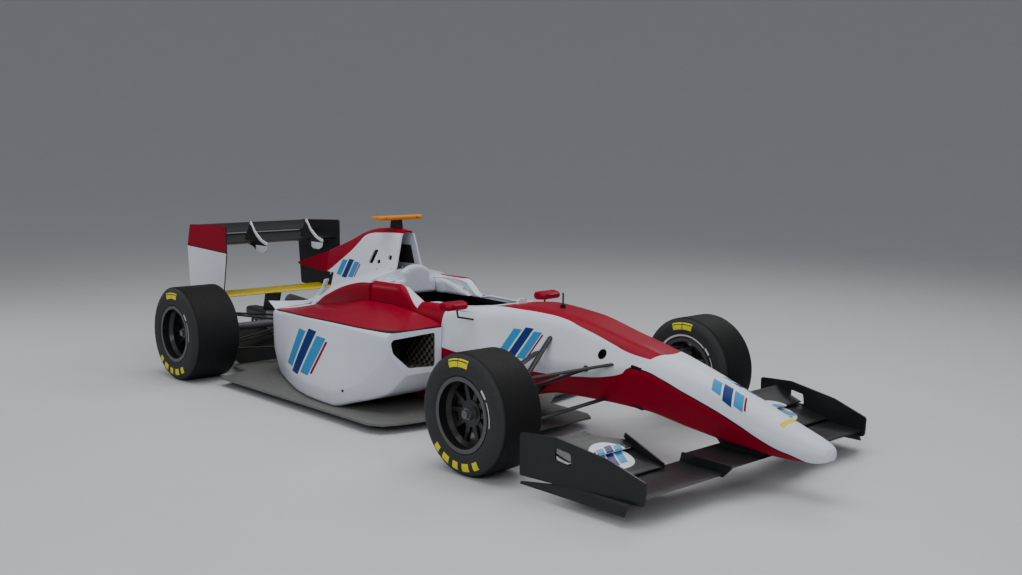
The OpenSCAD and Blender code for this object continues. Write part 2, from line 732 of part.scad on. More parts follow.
module crash_box() {
    color(carbon) difference() {
        union() {
            loft([for (row = crash_rows)
                [for (p = rounded([[-row[1], row[2]], [row[1], row[2]], [row[1], crash_top], [-row[1],
                crash_top]],
                    [20, 20, 20, 20], 4)) [row[0], p[0], p[1]]]]);
            panel(0, 14, rounded([[crash_end + 66, 260], [crash_end + 4, 260], [crash_end - 12,
                tow_eye_z - 34],
                [crash_end + 66, tow_eye_z - 34]], [4, 4, 30, 30], 5));
        }
        translate([crash_end + 27, -20, tow_eye_z]) rotate([-90, 0, 0]) cylinder(d = tow_eye_d, h = 40);
    }
}

module rain_light() {
    color(lamp_red) panel(0, 70, rounded([[crash_end - seat_gap, 264], [crash_end - seat_gap, 308],
        [crash_end - 26, 304],
        [crash_end - 26, 268]], [2, 2, 8, 8], 3));
}

// Rear wing

plate_in = rear_wing_half_w - rear_plate_t - seat_gap;
rear_main = wing_profile(280, 34, 26, 8);
rear_flap = wing_profile(165, 17, 16, 19);
rear_flap_x = rx(-480);
rear_flap_z = 872;
rear_main_x = rx(-215);
rear_main_z = 824;

// The main plane, with two curved fences that stand over its leading edge
fence_y = 222;
fence_t = 8;
module rear_wing() {
    color(carbon) element(rear_main_x, rear_main_z, -plate_in, plate_in, rear_main);
    color(white) both_sides() panel(fence_y, fence_t, rounded([[rx(-258), 964], [rx(-205), 900],
        [rx(-120), 846],
        [rx(-52), 828], [rx(-66), 772], [rx(-100), 758], [rx(-170), 760], [rx(-230), 796], [rx(-330), 812],
        [rx(-330), 850], [rx(-296), 900]], [4, 90, 90, 8, 20, 20, 30, 60, 6, 40, 60], 4));
}

module rear_wing_flap() {
    color(carbon) element(rear_flap_x, rear_flap_z, -plate_in, plate_in, rear_flap);
}

module rear_wing_end_plates() {
    color(white) both_sides() panel(rear_wing_half_w - rear_plate_t / 2, rear_plate_t,
        rounded([[rx(-186), 950],
        [rx(-rear_overhang + 40), 926], [rx(-rear_overhang), 776], [rx(-rear_overhang + 34), 448],
        [rx(-236), 448],
        [rx(-184), 750]], [16, 16, 0.5, 20, 20, 60], 4));
}

// The lower wing stands on a pylon over the crash box and carries the end plates
beam_profile = wing_profile(215, 20, 12, 3);
module beam_wing() {
    color(yellow) element(rx(-236), 462, -plate_in, plate_in, beam_profile);
    color(carbon) panel(0, 22, rounded([[rx(-256), 456], [rx(-430), 468], [rx(-470), crash_top + seat_gap],
        [rx(-304), crash_top + seat_gap]], [2, 2, 2, 2], 3));
}

// Suspension

front_lug_z = 100;
rear_lug_z = 104;
eye_t = 24;
eye_d = 44;
pin_reach = 28;
front_arm_chord = 52;
front_arm_thick = 16;
front_push_foot = [fx(-34), kingpin_y - 78, front_hub_z - 65.5];
rear_push_foot = [rx(40), rear_wheel_y - 158, rear_hub_z - 89];

// A flat lug on a lower wishbone under a push rod, and the space below the rod's foot
module push_lug(foot) {
    translate(foot - [22, 20, 36]) cube([44, 40, 36]);
}

module below(foot) {
    translate(foot + [-100, -100, seat_gap - 200]) cube([200, 200, 200]);
}

// A push rod whose line passes through its foot, a little longer than it will be after trimming
module pushrod(foot, top, chord, thick) {
    arm(foot - (top - foot) * 0.1, top, chord, thick);
}

// A wishbone of two streamlined arms to an eye, with a pin that stands into the knuckle; up is 1 or -1
module wishbone(tip, front_foot, rear_foot, chord, thick, up) {
    middle = tip + [0, 0, up * eye_t * 2 / 3];
    translate(tip + [0, 0, up > 0 ? 0 : -eye_t]) cylinder(d = eye_d, h = eye_t);
    translate(tip + [0, 0, up > 0 ? -pin_reach : -seat_gap]) cylinder(d = kingpin_d,
        h = pin_reach + seat_gap);
    arm(middle, front_foot, chord, thick);
    arm(middle, rear_foot, chord, thick);
}

module front_upper_wishbones() {
    color(carbon) both_sides() difference() {
        wishbone([front_axle_x, kingpin_y, front_hub_z + front_lug_z + seat_gap],
            [fx(236), 150, 464], [fx(-250), 190, 464], front_arm_chord, front_arm_thick, 1);
        tub_outside(seat_gap);
    }
}

module front_lower_wishbones() {
    color(carbon) both_sides() difference() {
        union() {
            wishbone([front_axle_x, kingpin_y, front_hub_z - front_lug_z - seat_gap],
                [fx(190), 110, 290], [fx(-240), 140, 290], front_arm_chord, front_arm_thick, -1);
            push_lug(front_push_foot);
        }
        tub_outside(seat_gap);
    }
}

module front_pushrods() {
    color(carbon) both_sides() difference() {
        pushrod(front_push_foot, [fx(-199), 120, 583], 44, 20);
        below(front_push_foot);
        tub_outside(seat_gap);
    }
}

// The rack's bar and its two tie rods slide together; the eyes lie on the steering arms
module steering_rack() {
    eye = arm_tip + [0, 0, seat_gap];
    color(carbon) {
        translate([rack_end[0], -rack_half_l - 8, rack_end[2]]) rotate([-90, 0, 0])
            cylinder(d = tie_rod_d + 10, h = 2 * rack_half_l + 16);
        both_sides() {
            rod(rack_end, rod_end, tie_rod_d - 5);
            rod(rack_end, rack_end + (rod_end - rack_end) * 0.86, tie_rod_d);
            translate(eye) cylinder(d = 34, h = rod_eye_t);
        }
    }
}

// Wheel parts, drawn about the origin with the axle along Z and the outside up

bead_r = rim_d / 2;
flange_r = bead_r + 13;
flange_t = 8;
rim_wall = 8;
hub_in = 40;
hub_out = 74;
disc_t = 22;

module wheel_parts_tyre(d, w) {
    r = d / 2;
    seat = w / 2 - 5 - flange_t - seat_gap;
    half = [[bead_r + seat_gap, seat], [flange_r + seat_gap, seat], [flange_r + 4, w / 2 - 8],
        [flange_r + 16, w / 2 - 2],
        [(flange_r + r) / 2 + 8, w / 2], [r - 26, w / 2 - 6], [r - 10, w / 2 - 16], [r - 2, w / 2 - 28],
        [r, w / 2 - 48]];
    outline = concat(half, [for (i = [len(half) - 1 : -1 : 0]) [half[i][0], -half[i][1]]]);
    rotate_extrude() polygon(outline);
}

module wheel_parts_rim(w, inner_end) {
    edge = w / 2 - 5;
    drop = bead_r - 14;
    rotate_extrude() polygon([[flange_r, edge], [flange_r, edge - flange_t], [bead_r, edge - flange_t],
        [bead_r, edge - 40],
        [drop, edge - 62], [drop, -edge + 62], [bead_r, -edge + 40], [bead_r, -edge + flange_t],
        [flange_r, -edge + flange_t],
        [flange_r, -edge], [bead_r - rim_wall, -edge], [bead_r - rim_wall, -edge + 44], [drop - rim_wall,
        -edge + 66],
        [drop - rim_wall, edge - 66], [bead_r - rim_wall, edge - 44], [bead_r - rim_wall, edge]]);
    translate([0, 0, hub_in]) cylinder(r = 64, h = hub_out - hub_in - 8);
    for (i = [0 : spoke_count - 1]) rotate(i * 360 / spoke_count)
        translate([0, 0, hub_in + 4]) linear_extrude(18)
            polygon([[40, -15], [40, 15], [drop - rim_wall + 4, 9], [drop - rim_wall + 4, -9]]);
    translate([0, 0, inner_end]) cylinder(d = spindle_d, h = hub_out - inner_end);
    translate([0, 0, hub_out - 9]) cylinder(d = 62, h = 26, $fn = 6);
    translate([0, 0, hub_out]) cylinder(d = 40, h = 32);
}

module wheel_parts_disc() {
    difference() {
        union() {
            translate([0, 0, -10]) cylinder(d = disc_d, h = disc_t);
            translate([0, 0, -10]) cylinder(r = 62, h = hub_in + 10 - seat_gap);
        }
        translate([0, 0, -11]) cylinder(d = spindle_d + 2 * seat_gap, h = hub_in + 20);
        for (i = [0 : 11]) rotate(i * 30) translate([disc_d / 2 - 20, 0, -11]) cylinder(d = 12,
            h = disc_t + 2);
    }
}

// A bearing housing with lugs above and below on the steering axis and a caliper over the disc
caliper_r = 136;
module wheel_parts_upright(lug_z, lug_back) {
    difference() {
        union() {
            translate([0, 0, lug_back - 22]) cylinder(r = 46, h = -16 - lug_back + 22);
            for (up = [0, 180]) rotate(up) translate([-24, 30, lug_back - 22]) cube([48, lug_z - 30, 44]);
            intersection() {
                difference() {
                    translate([0, 0, -34]) cylinder(r = caliper_r, h = 66);
                    translate([0, 0, -13]) cylinder(d = disc_d + 6, h = disc_t + 6);
                    translate([0, 0, -35]) cylinder(r = 72, h = 80);
                }
                translate([0, -76, -40]) mirror([1, 0, 0]) cube([160, 152, 100]);
            }
            translate([-100, -34, -34]) cube([76, 68, 16]);
        }
        translate([0, 0, lug_back - 30]) cylinder(d = spindle_d + 2 * run_gap, h = 60 - lug_back);
        for (up = [-1, 1]) translate([0, up * (lug_z - 30), lug_back]) rotate([-90 * up, 0, 0])
            cylinder(d = kingpin_d + 2 * run_gap, h = 40);
    }
}

// Places a wheel part at the left or right end of an axle; the part's up becomes the car's outside
module at_axle(x, y, z, side) {
    if (side > 0) translate([x, y, z]) rotate([-90, 0, 0]) children();
    else mirror([0, 1, 0]) translate([x, y, z]) rotate([-90, 0, 0]) children();
}

front_upright_in = -kingpin_inset - 30;
rear_upright_in = -100;
module at_front(side) { at_axle(front_axle_x, front_wheel_y, front_hub_z, side) children(); }
module at_rear(side) { at_axle(rear_axle_x, rear_wheel_y, rear_hub_z, side) children(); }

// A steering arm reaches in and forward from the knuckle to the tie rod's eye
module knuckle(side) {
    tongue = 12;
    flip = side > 0 ? 0 : 1;
    color(steel) {
        at_front(side) wheel_parts_upright(front_lug_z, -kingpin_inset);
        mirror([0, flip, 0]) slab(arm_tip[2] - tongue, tongue, rounded([[front_axle_x + 10, kingpin_y - 22],
            [front_axle_x + 10, kingpin_y + 22], [arm_tip[0] + 18, kingpin_y + 18], [arm_tip[0] + 18,
            kingpin_y - 18]],
            [2, 2, 17, 17], 4));
    }
}

module knuckle_right() { knuckle(-1); }
module knuckle_left() { knuckle(1); }

rear_lug_y = rear_wheel_y - 74;
module rear_uprights() {
    color(steel) for (side = [-1, 1]) at_rear(side) wheel_parts_upright(rear_lug_z, -74);
}

module rear_upper_wishbones() {
    color(carbon) both_sides() difference() {
        wishbone([rear_axle_x, rear_lug_y, rear_hub_z + rear_lug_z + seat_gap],
            [rx(230), 90, 312], [rx(-180), 80, 312], 46, 16, 1);
        gearbox_case(seat_gap);
    }
}

module rear_lower_wishbones() {
    color(carbon) both_sides() difference() {
        union() {
            wishbone([rear_axle_x, rear_lug_y, rear_hub_z - rear_lug_z - seat_gap],
                [rx(250), 90, 160], [rx(-150), 80, 206], 46, 16, -1);
            push_lug(rear_push_foot);
        }
        gearbox_case(seat_gap);
    }
}

module rear_pushrods() {
    color(carbon) both_sides() difference() {
        pushrod(rear_push_foot, [rx(150), 90, 314], 36, 18);
        below(rear_push_foot);
        gearbox_case(seat_gap);
    }
}

module wheel_front(side) { color(rim_black) at_front(side) wheel_parts_rim(front_tyre_w, front_upright_in); }
module tyre_front(side) { color(rubber) at_front(side) wheel_parts_tyre(front_tyre_d, front_tyre_w); }
module disc_front(side) { color(steel) at_front(side) wheel_parts_disc(); }
module tyre_rear(side) { color(rubber) at_rear(side) wheel_parts_tyre(rear_tyre_d, rear_tyre_w); }
module disc_rear(side) { color(steel) at_rear(side) wheel_parts_disc(); }

// The rear spindle runs on as the drive shaft into the gearbox
module wheel_rear(side) {
    color(rim_black) at_rear(side) wheel_parts_rim(rear_tyre_w, 110 - rear_wheel_y);
}

monocoque();
nose_cone();
front_wing();
front_wing_flaps();
front_wing_end_plates();
headrest();
seat();
dash();
steering_wheel();
aerial();
mirrors();
airbox();
engine_cover();
fin();
camera_pod();
sidepod_right();
sidepod_left();
radiators();
floor_plate();  // floor
plank();
diffuser();
engine();
gearbox();
exhaust();
crash_box();
rain_light();
rear_wing();
rear_wing_flap();
rear_wing_end_plates();
beam_wing();
front_upper_wishbones();
front_lower_wishbones();
front_pushrods();
steering_rack();
knuckle_right();
knuckle_left();
rear_upper_wishbones();
rear_lower_wishbones();
rear_pushrods();
rear_uprights();
wheel_front(-1);  // wheel_front_right
wheel_front(1);  // wheel_front_left
wheel_rear(-1);  // wheel_rear_right
wheel_rear(1);  // wheel_rear_left
tyre_front(-1);  // tyre_front_right
tyre_front(1);  // tyre_front_left
tyre_rear(-1);  // tyre_rear_right
tyre_rear(1);  // tyre_rear_left
disc_front(-1);  // disc_front_right
disc_front(1);  // disc_front_left
disc_rear(-1);  // disc_rear_right
disc_rear(1);  // disc_rear_left
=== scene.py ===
import math
from functools import reduce

import bmesh
import bpy
import numpy as np
from mathutils import Matrix, Vector


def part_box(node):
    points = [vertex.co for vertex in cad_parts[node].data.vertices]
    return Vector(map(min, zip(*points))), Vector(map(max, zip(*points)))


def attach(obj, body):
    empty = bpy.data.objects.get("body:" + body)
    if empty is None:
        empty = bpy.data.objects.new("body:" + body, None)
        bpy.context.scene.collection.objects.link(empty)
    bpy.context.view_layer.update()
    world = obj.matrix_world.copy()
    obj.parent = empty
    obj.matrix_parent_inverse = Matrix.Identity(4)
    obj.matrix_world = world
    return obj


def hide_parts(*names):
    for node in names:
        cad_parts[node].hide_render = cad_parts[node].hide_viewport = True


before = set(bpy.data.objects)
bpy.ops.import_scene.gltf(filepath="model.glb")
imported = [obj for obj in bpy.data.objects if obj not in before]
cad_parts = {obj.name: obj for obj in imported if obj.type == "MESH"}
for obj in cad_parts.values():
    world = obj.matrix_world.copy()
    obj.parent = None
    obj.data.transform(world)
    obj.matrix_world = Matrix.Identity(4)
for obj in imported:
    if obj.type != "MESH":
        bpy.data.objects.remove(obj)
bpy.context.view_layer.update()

# Stations are in metres ahead of the front axle; the rear axle is a wheelbase behind it
FRONT_AXLE = 1.072
WHEELBASE = 2.780


def fx(s):
    return FRONT_AXLE + s


def rx(s):
    return FRONT_AXLE - WHEELBASE + s


BULKHEAD = fx(-1.575)
COVER_END = rx(0.380)
SEAM = fx(0.340)
DASH = fx(-0.640)
POD_FRONT = fx(-0.905)
GAP = 0.0003
SIDES = ((-1, "right"), (1, "left"))
WHEELS = {
    "front_right": (fx(0), -0.8075, 0.2875, 0.265),
    "front_left": (fx(0), 0.8075, 0.2875, 0.265),
    "rear_right": (rx(0), -0.780, 0.295, 0.320),
    "rear_left": (rx(0), 0.780, 0.295, 0.320),
}

WHITE = (0.68, 0.72, 0.80)
RED = (0.27, 0.0, 0.017)
BLACK = (0.010, 0.010, 0.012)
CYAN = (0.035, 0.26, 0.52)
NAVY = (0.012, 0.035, 0.16)
YELLOW = (0.80, 0.62, 0.03)
ORANGE = (0.72, 0.24, 0.015)


# Materials

class Num:
    """A number in a material's node tree that takes part in arithmetic."""

    def __init__(self, graph, socket):
        self.g, self.s = graph, socket

    def __add__(self, o):
        return self.g.math("ADD", self, o)

    __radd__ = __add__

    def __sub__(self, o):
        return self.g.math("SUBTRACT", self, o)

    def __rsub__(self, o):
        return self.g.math("SUBTRACT", o, self)

    def __mul__(self, o):
        return self.g.math("MULTIPLY", self, o)

    __rmul__ = __mul__

    def __abs__(self):
        return self.g.math("ABSOLUTE", self)


class Graph:
    """A material whose colour, roughness and bump are built from the object's own coordinates."""

    def __init__(self, name, rough=0.4, metal=0.0, coat=0.0, shine=0.5, sheen=0.0):
        self.mat = bpy.data.materials.new(name)
        self.mat.use_nodes = True
        self.tree = self.mat.node_tree
        self.bsdf = next(n for n in self.tree.nodes if n.type == "BSDF_PRINCIPLED")
        looks = {"Roughness": rough, "Metallic": metal, "Coat Weight": coat, "Coat Roughness": 0.06,
                 "Specular IOR Level": shine, "Sheen Weight": sheen}
        for socket, value in looks.items():
            self.bsdf.inputs[socket].default_value = value
        self.place = self.add("ShaderNodeTexCoord").outputs["Object"]
        parts = self.add("ShaderNodeSeparateXYZ")
        self.link(self.place, parts.inputs[0])
        self.x, self.y, self.z = (Num(self, o) for o in parts.outputs)
        self.heights = []

    def add(self, kind):
        return self.tree.nodes.new(kind)

    def link(self, out, into):
        self.tree.links.new(out, into)

    def put(self, value, into):
        if isinstance(value, Num):
            self.link(value.s, into)
        elif isinstance(value, bpy.types.NodeSocket):
            self.link(value, into)
        elif isinstance(value, tuple):
            into.default_value = (*value, 1.0)
        else:
            into.default_value = value

    def math(self, kind, *values, clamp=False):
        n = self.add("ShaderNodeMath")
        n.operation = kind
        n.use_clamp = clamp
        for i, v in enumerate(values):
            self.put(v, n.inputs[i])
        return Num(self, n.outputs[0])

    def least(self, *values):
        return reduce(lambda a, b: self.math("MINIMUM", a, b), values)

    def most(self, *values):
        return reduce(lambda a, b: self.math("MAXIMUM", a, b), values)

    def reach(self, a, b):
        """Length of the vector (a, b)."""
        return self.math("SQRT", self.math("POWER", a, 2.0) + self.math("POWER", b, 2.0))

    def inside(self, depth, soft=0.0008):
        """1 where depth, a distance in metres, is above 0."""
        return self.math("MULTIPLY_ADD", depth, 1.0 / soft, 0.5, clamp=True)

    def over(self, colour, depth, tint, soft=0.0008):
        """The colour with a tint laid over it where depth is above 0."""
        return self.mix(self.inside(depth, soft), colour, tint)

    def curve(self, value, points):
        """A smooth line through points, read at value."""
        xs, ys = [p[0] for p in points], [p[1] for p in points]
        x0, x1, y0, y1 = min(xs), max(xs), min(ys), max(ys)
        n = self.add("ShaderNodeFloatCurve")
        line = n.mapping.curves[0]
        shown = sorted(((x - x0) / (x1 - x0), (y - y0) / (y1 - y0)) for x, y in points)
        while len(line.points) < len(shown):
            line.points.new(0.5, 0.5)
        for p, q in zip(line.points, shown):
            p.location = q
            p.handle_type = "AUTO_CLAMPED"
        n.mapping.update()
        self.put((value - x0) * (1.0 / (x1 - x0)), n.inputs["Value"])
        return Num(self, n.outputs[0]) * (y1 - y0) + y0

    def noise(self, scale, detail=2.0, stretch=None):
        n = self.add("ShaderNodeTexNoise")
        n.inputs["Scale"].default_value = scale
        n.inputs["Detail"].default_value = detail
        place = self.place
        if stretch:
            m = self.add("ShaderNodeMapping")
            m.inputs["Scale"].default_value = stretch
            self.link(place, m.inputs["Vector"])
            place = m.outputs[0]
        self.link(place, n.inputs["Vector"])
        return Num(self, n.outputs[0])

    def mix(self, amount, a, b):
        n = self.add("ShaderNodeMix")
        n.data_type = "RGBA"
        self.put(amount, n.inputs[0])
        self.put(a, n.inputs[6])
        self.put(b, n.inputs[7])
        return n.outputs[2]

    def shade(self, colour, spread=0.08, scale=6.0):
        """A colour that drifts a little over the surface."""
        dark = tuple(c * (1 - spread) for c in colour)
        light = tuple(min(1.0, c * (1 + spread)) for c in colour)
        return self.mix(self.noise(scale, 3.0), dark, light)

    def bump(self, height, depth, strength=1.0):
        n = self.add("ShaderNodeBump")
        n.inputs["Strength"].default_value = strength
        n.inputs["Distance"].default_value = depth
        self.put(height, n.inputs["Height"])
        if self.heights:
            self.link(self.heights[-1].outputs[0], n.inputs["Normal"])
        self.heights.append(n)

    def done(self, colour, rough=None):
        self.put(colour, self.bsdf.inputs["Base Color"])
        if rough is not None:
            self.put(rough, self.bsdf.inputs["Roughness"])
        if self.heights:
            self.link(self.heights[-1].outputs[0], self.bsdf.inputs["Normal"])
            self.link(self.heights[-1].outputs[0], self.bsdf.inputs["Coat Normal"])
        return self.mat


def paint(name):
    """Gloss paint under lacquer, with a faint orange peel."""
    g = Graph(name, rough=0.40, coat=0.06, shine=0.09)
    g.bump(g.noise(420.0, 1.0), 0.00004, 0.6)
    return g


def white_shade(g):
    return g.shade(WHITE, 0.03)


def livery(name):
    """Paint, with what the livery is drawn from: station, distance from the middle, white and red."""
    g = paint(name)
    return g, g.x - FRONT_AXLE, abs(g.y), white_shade(g), g.shade(RED, 0.07)


def finish_paint(g, colour):
    """Road film low down on the body and a slight drift of the gloss."""
    low = g.math("MULTIPLY_ADD", g.z, -6.0, 1.35, clamp=True)
    film = g.math("MULTIPLY", low, g.noise(14.0, 5.0), clamp=True) * 0.35
    worn = g.mix(film, colour, (0.20, 0.19, 0.18))
    return g.done(worn, g.noise(9.0, 3.0) * 0.14 + 0.36)


def slanted_bars(g, colour, across, up, width, height):
    """Three leaning bars in the livery's second colours; across and up are measured from their middle."""
    lean = across - up * 0.55
    for k, tint in ((-1, CYAN), (0, NAVY), (1, CYAN)):
        bar = g.least(width * 0.15 - abs(lean - k * width * 0.36), height * (0.5 - 0.08 * abs(k)) - abs(up))
        colour = g.over(colour, bar, tint)
    accent = g.least(width * 0.035 - abs(lean - width * 0.57), height * 0.36 - abs(up))
    return g.over(colour, accent, RED)


# The red top's edge on the nose, as station and height, and half the black line between red and white
TOP_EDGE = [(0.205, 0.551), (0.333, 0.520), (0.52, 0.50)]
RULE = 0.0032


def tongue(g, s, wide):
    """Depth inside the round front end of the red top."""
    return 0.128 - g.reach(g.most(s - 0.345, 0.0), wide * math.sqrt(0.62))


def tub_paint():
    g, s, wide, white, red = livery("paint_tub")
    split = g.curve(s, [(-0.90, 0.400), (-0.60, 0.374), (-0.242, 0.356), (0.084, 0.378), (0.219, 0.402), (0.300, 0.428),
                        (0.345, 0.460), (0.420, 0.456), (0.522, 0.425), (0.627, 0.388), (0.726, 0.360), (0.842, 0.317),
                        (1.059, 0.259), (1.163, 0.231), (1.264, 0.212), (1.352, 0.204)])
    colour = g.over(white, split - g.z, red)
    colour = g.over(colour, g.least(RULE - abs(g.z - split), s - 0.335), BLACK)
    edge = g.curve(s, [(-1.60, 0.60), (-0.90, 0.612), (-0.555, 0.650), (-0.427, 0.652), (-0.258, 0.648),
                       (-0.143, 0.638), (-0.012, 0.609), (0.096, 0.582)] + TOP_EDGE)
    colour = g.over(colour, g.least(g.z - edge, tongue(g, s, wide), s + 0.942), red)
    opening = (s + 0.9) * -0.073 + 0.195
    band = g.curve(s, [(-1.60, 0.234), (-1.40, 0.236), (-1.30, 0.248), (-1.20, 0.262), (-1.16, 0.266)])
    hump = g.least(-0.942 - s, g.z - 0.44, wide - opening, g.most(wide - band, s + 1.16))
    colour = g.over(colour, hump, red)
    skin = g.least(opening + 0.030 + (0.604 - g.z) * 0.26, opening + 0.0865 - (0.39 - g.z) * 0.21)
    well = g.least(skin - wide, 0.604 - g.z, g.z - 0.075, g.least(-0.66 - s, s + 1.548))
    colour = g.over(colour, well, (0.012, 0.012, 0.013))
    colour = slanted_bars(g, colour, s + 0.371, g.z - 0.486, 0.19, 0.17)
    colour = g.over(colour, 0.0242 - g.reach(s - 0.161, g.z - 0.501), BLACK)
    return finish_paint(g, colour)


def nose_paint():
    g, s, wide, white, red = livery("paint_nose")
    split = g.curve(s, [(0.300, 0.428), (0.345, 0.460), (0.420, 0.457), (0.522, 0.430), (0.627, 0.393), (0.726, 0.361),
                        (0.842, 0.321), (0.952, 0.278), (1.059, 0.233), (1.134, 0.208), (1.200, 0.194), (1.264, 0.172),
                        (1.352, 0.140)])
    colour = g.over(white, split - g.z, red)
    colour = g.over(colour, RULE - abs(g.z - split), BLACK)
    colour = g.over(colour, g.least(g.z - g.curve(s, TOP_EDGE), tongue(g, s, wide)), red)
    bars = slanted_bars(g, colour, s - 0.84, wide - 0.062, 0.17, 0.075)
    colour = g.over(colour, g.z - split - 0.012, bars)
    badge = g.least(0.013 - abs(s - 1.130), 0.062 - wide)
    return finish_paint(g, g.over(colour, badge, YELLOW))


def cover_paint():
    g, s, _, white, red = livery("paint_cover")
    spine = g.curve(s, [(-2.42, 0.650), (-2.338, 0.691), (-2.238, 0.748), (-2.108, 0.824), (-2.018, 0.888),
                        (-1.96, 0.930), (-1.90, 0.948), (-1.772, 0.961), (-1.601, 0.968), (-1.56, 0.968)])
    colour = g.over(white, g.z - spine, red)
    ridge = g.curve(s, [(-2.42, 0.47), (-2.40, 0.47), (-2.18, 0.548), (-1.98, 0.616), (-1.84, 0.652), (-1.69, 0.680),
                        (-1.56, 0.692)])
    colour = g.over(colour, g.least(ridge - g.z, s + 2.322), red)
    colour = slanted_bars(g, colour, s + 2.115, g.z - 0.712, 0.22, 0.12)
    return finish_paint(g, colour)


def pod_paint():
    g, s, wide, white, red = livery("paint_pod")
    line = g.curve(s, [(-2.42, 0.448), (-2.27, 0.455), (-1.98, 0.474), (-1.76, 0.489), (-1.575, 0.500), (-1.35, 0.508),
                       (-1.10, 0.513), (-0.90, 0.515)])
    back = g.curve(wide, [(.12, -2.325), (.165, -2.322), (.24, -2.295), (.32, -2.310), (.40, -2.378), (.42, -2.395),
                          (.80, -2.42)])
    colour = g.over(white, g.least(g.z - line, s - back), red)
    colour = g.over(colour, g.least(0.003 - abs(g.z - line), s + 2.36), BLACK)
    colour = slanted_bars(g, colour, s + 1.76, g.z - 0.295, 0.40, 0.27)
    dot = 0.008 - g.reach(s + 1.256, g.z - 0.156)
    colour = g.over(colour, g.least(dot, wide - 0.60), BLACK)
    above = g.least(g.z - 0.291, 0.4975 - g.z - (wide - 0.346) * 0.039)
    beside = g.least(wide - 0.338, 0.6405 - wide + (g.z - 0.402) * 0.27)
    corner = 0.010 - (wide - 0.528) * 0.654 + (g.z - 0.312) * 0.756
    throat = g.least(above, beside, corner, g.least(-0.9085 - s, s + 1.21))
    grille = g.mix(carbon_weave(g, 0.022), (0.010, 0.010, 0.011), (0.16, 0.15, 0.13))
    return finish_paint(g, g.over(colour, throat, grille))


def carbon_weave(g, cell):
    """Twill: strips over and under each other, stepping by one strip each row."""
    k = 1.0 / cell
    step = g.math("FLOOR", (g.z + g.y) * k)
    phase = g.math("FRACT", g.x * k * 0.5 + step * 0.5)
    return g.math("GREATER_THAN", phase, 0.5)


STRIP = 0.0035
CARBON_TINT = (0.008, 0.0085, 0.0095)


def bare_carbon(name, rough=0.4):
    return Graph(name, rough=rough, coat=0.10, shine=0.30)


def dark_weave(g):
    return g.mix(carbon_weave(g, STRIP), CARBON_TINT, (0.014, 0.0145, 0.016))


def satin(g, colour, rough=0.4):
    return g.done(colour, g.noise(18.0, 3.0) * 0.20 + (rough - 0.10))


def carbon(name="carbon", tint=CARBON_TINT, rough=0.42):
    g = bare_carbon(name, rough)
    weave = carbon_weave(g, STRIP)
    base = g.mix(weave, tint, tuple(c * 1.7 for c in tint))
    g.bump(weave, 0.00006, 0.5)
    return satin(g, g.mix(g.noise(5.0, 4.0) * 0.35, base, tuple(c * 2.4 for c in tint)), rough)


def rear_plate_paint():
    g, s, wide, white, red = livery("paint_rear_plates")
    line = 0.763 + (s + 2.964) * -0.032
    colour = g.over(white, g.z - line, red)
    colour = g.over(colour, 0.0035 - abs(g.z - line), BLACK)
    inner = g.mix(carbon_weave(g, 0.004), (0.014, 0.014, 0.016), (0.026, 0.026, 0.028))
    return finish_paint(g, g.over(colour, 0.4545 - wide, inner))


def rear_wing_paint():
    """Carbon, with the front edge and the foot of each fence white."""
    g = bare_carbon("carbon_rear_wing")
    r = g.x - rx(0)
    edge = g.curve(r, [(-0.34, 0.985), (-0.258, 0.958), (-0.205, 0.902), (-0.160, 0.868), (-0.120, 0.848),
                       (-0.052, 0.828)])
    foot = g.least(0.806 - g.z, r + 0.190)
    fence = g.least(0.0046 - abs(abs(g.y) - 0.222), g.most(g.z - edge + 0.019, foot))
    return satin(g, g.over(dark_weave(g), fence, white_shade(g)))


def flap_paint():
    """Carbon, with a white patch and its bars on each side."""
    g = bare_carbon("carbon_flaps")
    across, up = abs(g.y) - 0.628, g.x - fx(0.650)
    patch = 1.0 - g.reach(across * 9.0, up * 11.0)
    colour = g.over(dark_weave(g), patch, white_shade(g), 0.02)
    return satin(g, slanted_bars(g, colour, across, up, 0.155, 0.118))


def dash_paint():
    """Dark dash; the deflector ahead of it is white."""
    g = paint("paint_dash")
    return finish_paint(g, g.over(dark_weave(g), g.x - fx(-0.62), white_shade(g)))


def plain_paint(name, tint, spread, depth=None):
    """Paint of one tint, with a dark part where depth, a function of the graph, is above 0."""
    g = paint(name)
    colour = g.shade(tint, spread)
    if depth:
        colour = g.over(colour, depth(g), g.shade((0.02, 0.02, 0.022), 0.3, 40.0))
    return finish_paint(g, colour)


def floor_board():
    g = Graph("floor_board", rough=0.6)
    base = g.mix(g.noise(60.0, 4.0), (0.105, 0.105, 0.10), (0.16, 0.16, 0.152))
    scuffs = g.math("GREATER_THAN", g.noise(30.0, 6.0, (0.25, 3.0, 3.0)), 0.68) * 0.5
    g.bump(g.noise(300.0, 2.0), 0.0002, 0.4)
    return g.done(g.mix(scuffs, base, (0.24, 0.24, 0.23)), g.noise(22.0, 4.0) * 0.25 + 0.45)


def metal(name, colour, rough, stretch):
    g = Graph(name, rough=rough, metal=1.0)
    grain = g.noise(160.0, 5.0, stretch)
    g.bump(grain, 0.00012, 0.5)
    light = tuple(min(1.0, c * 1.25) for c in colour)
    return g.done(g.mix(grain, tuple(c * 0.75 for c in colour), light), grain * 0.25 + (rough - 0.1))


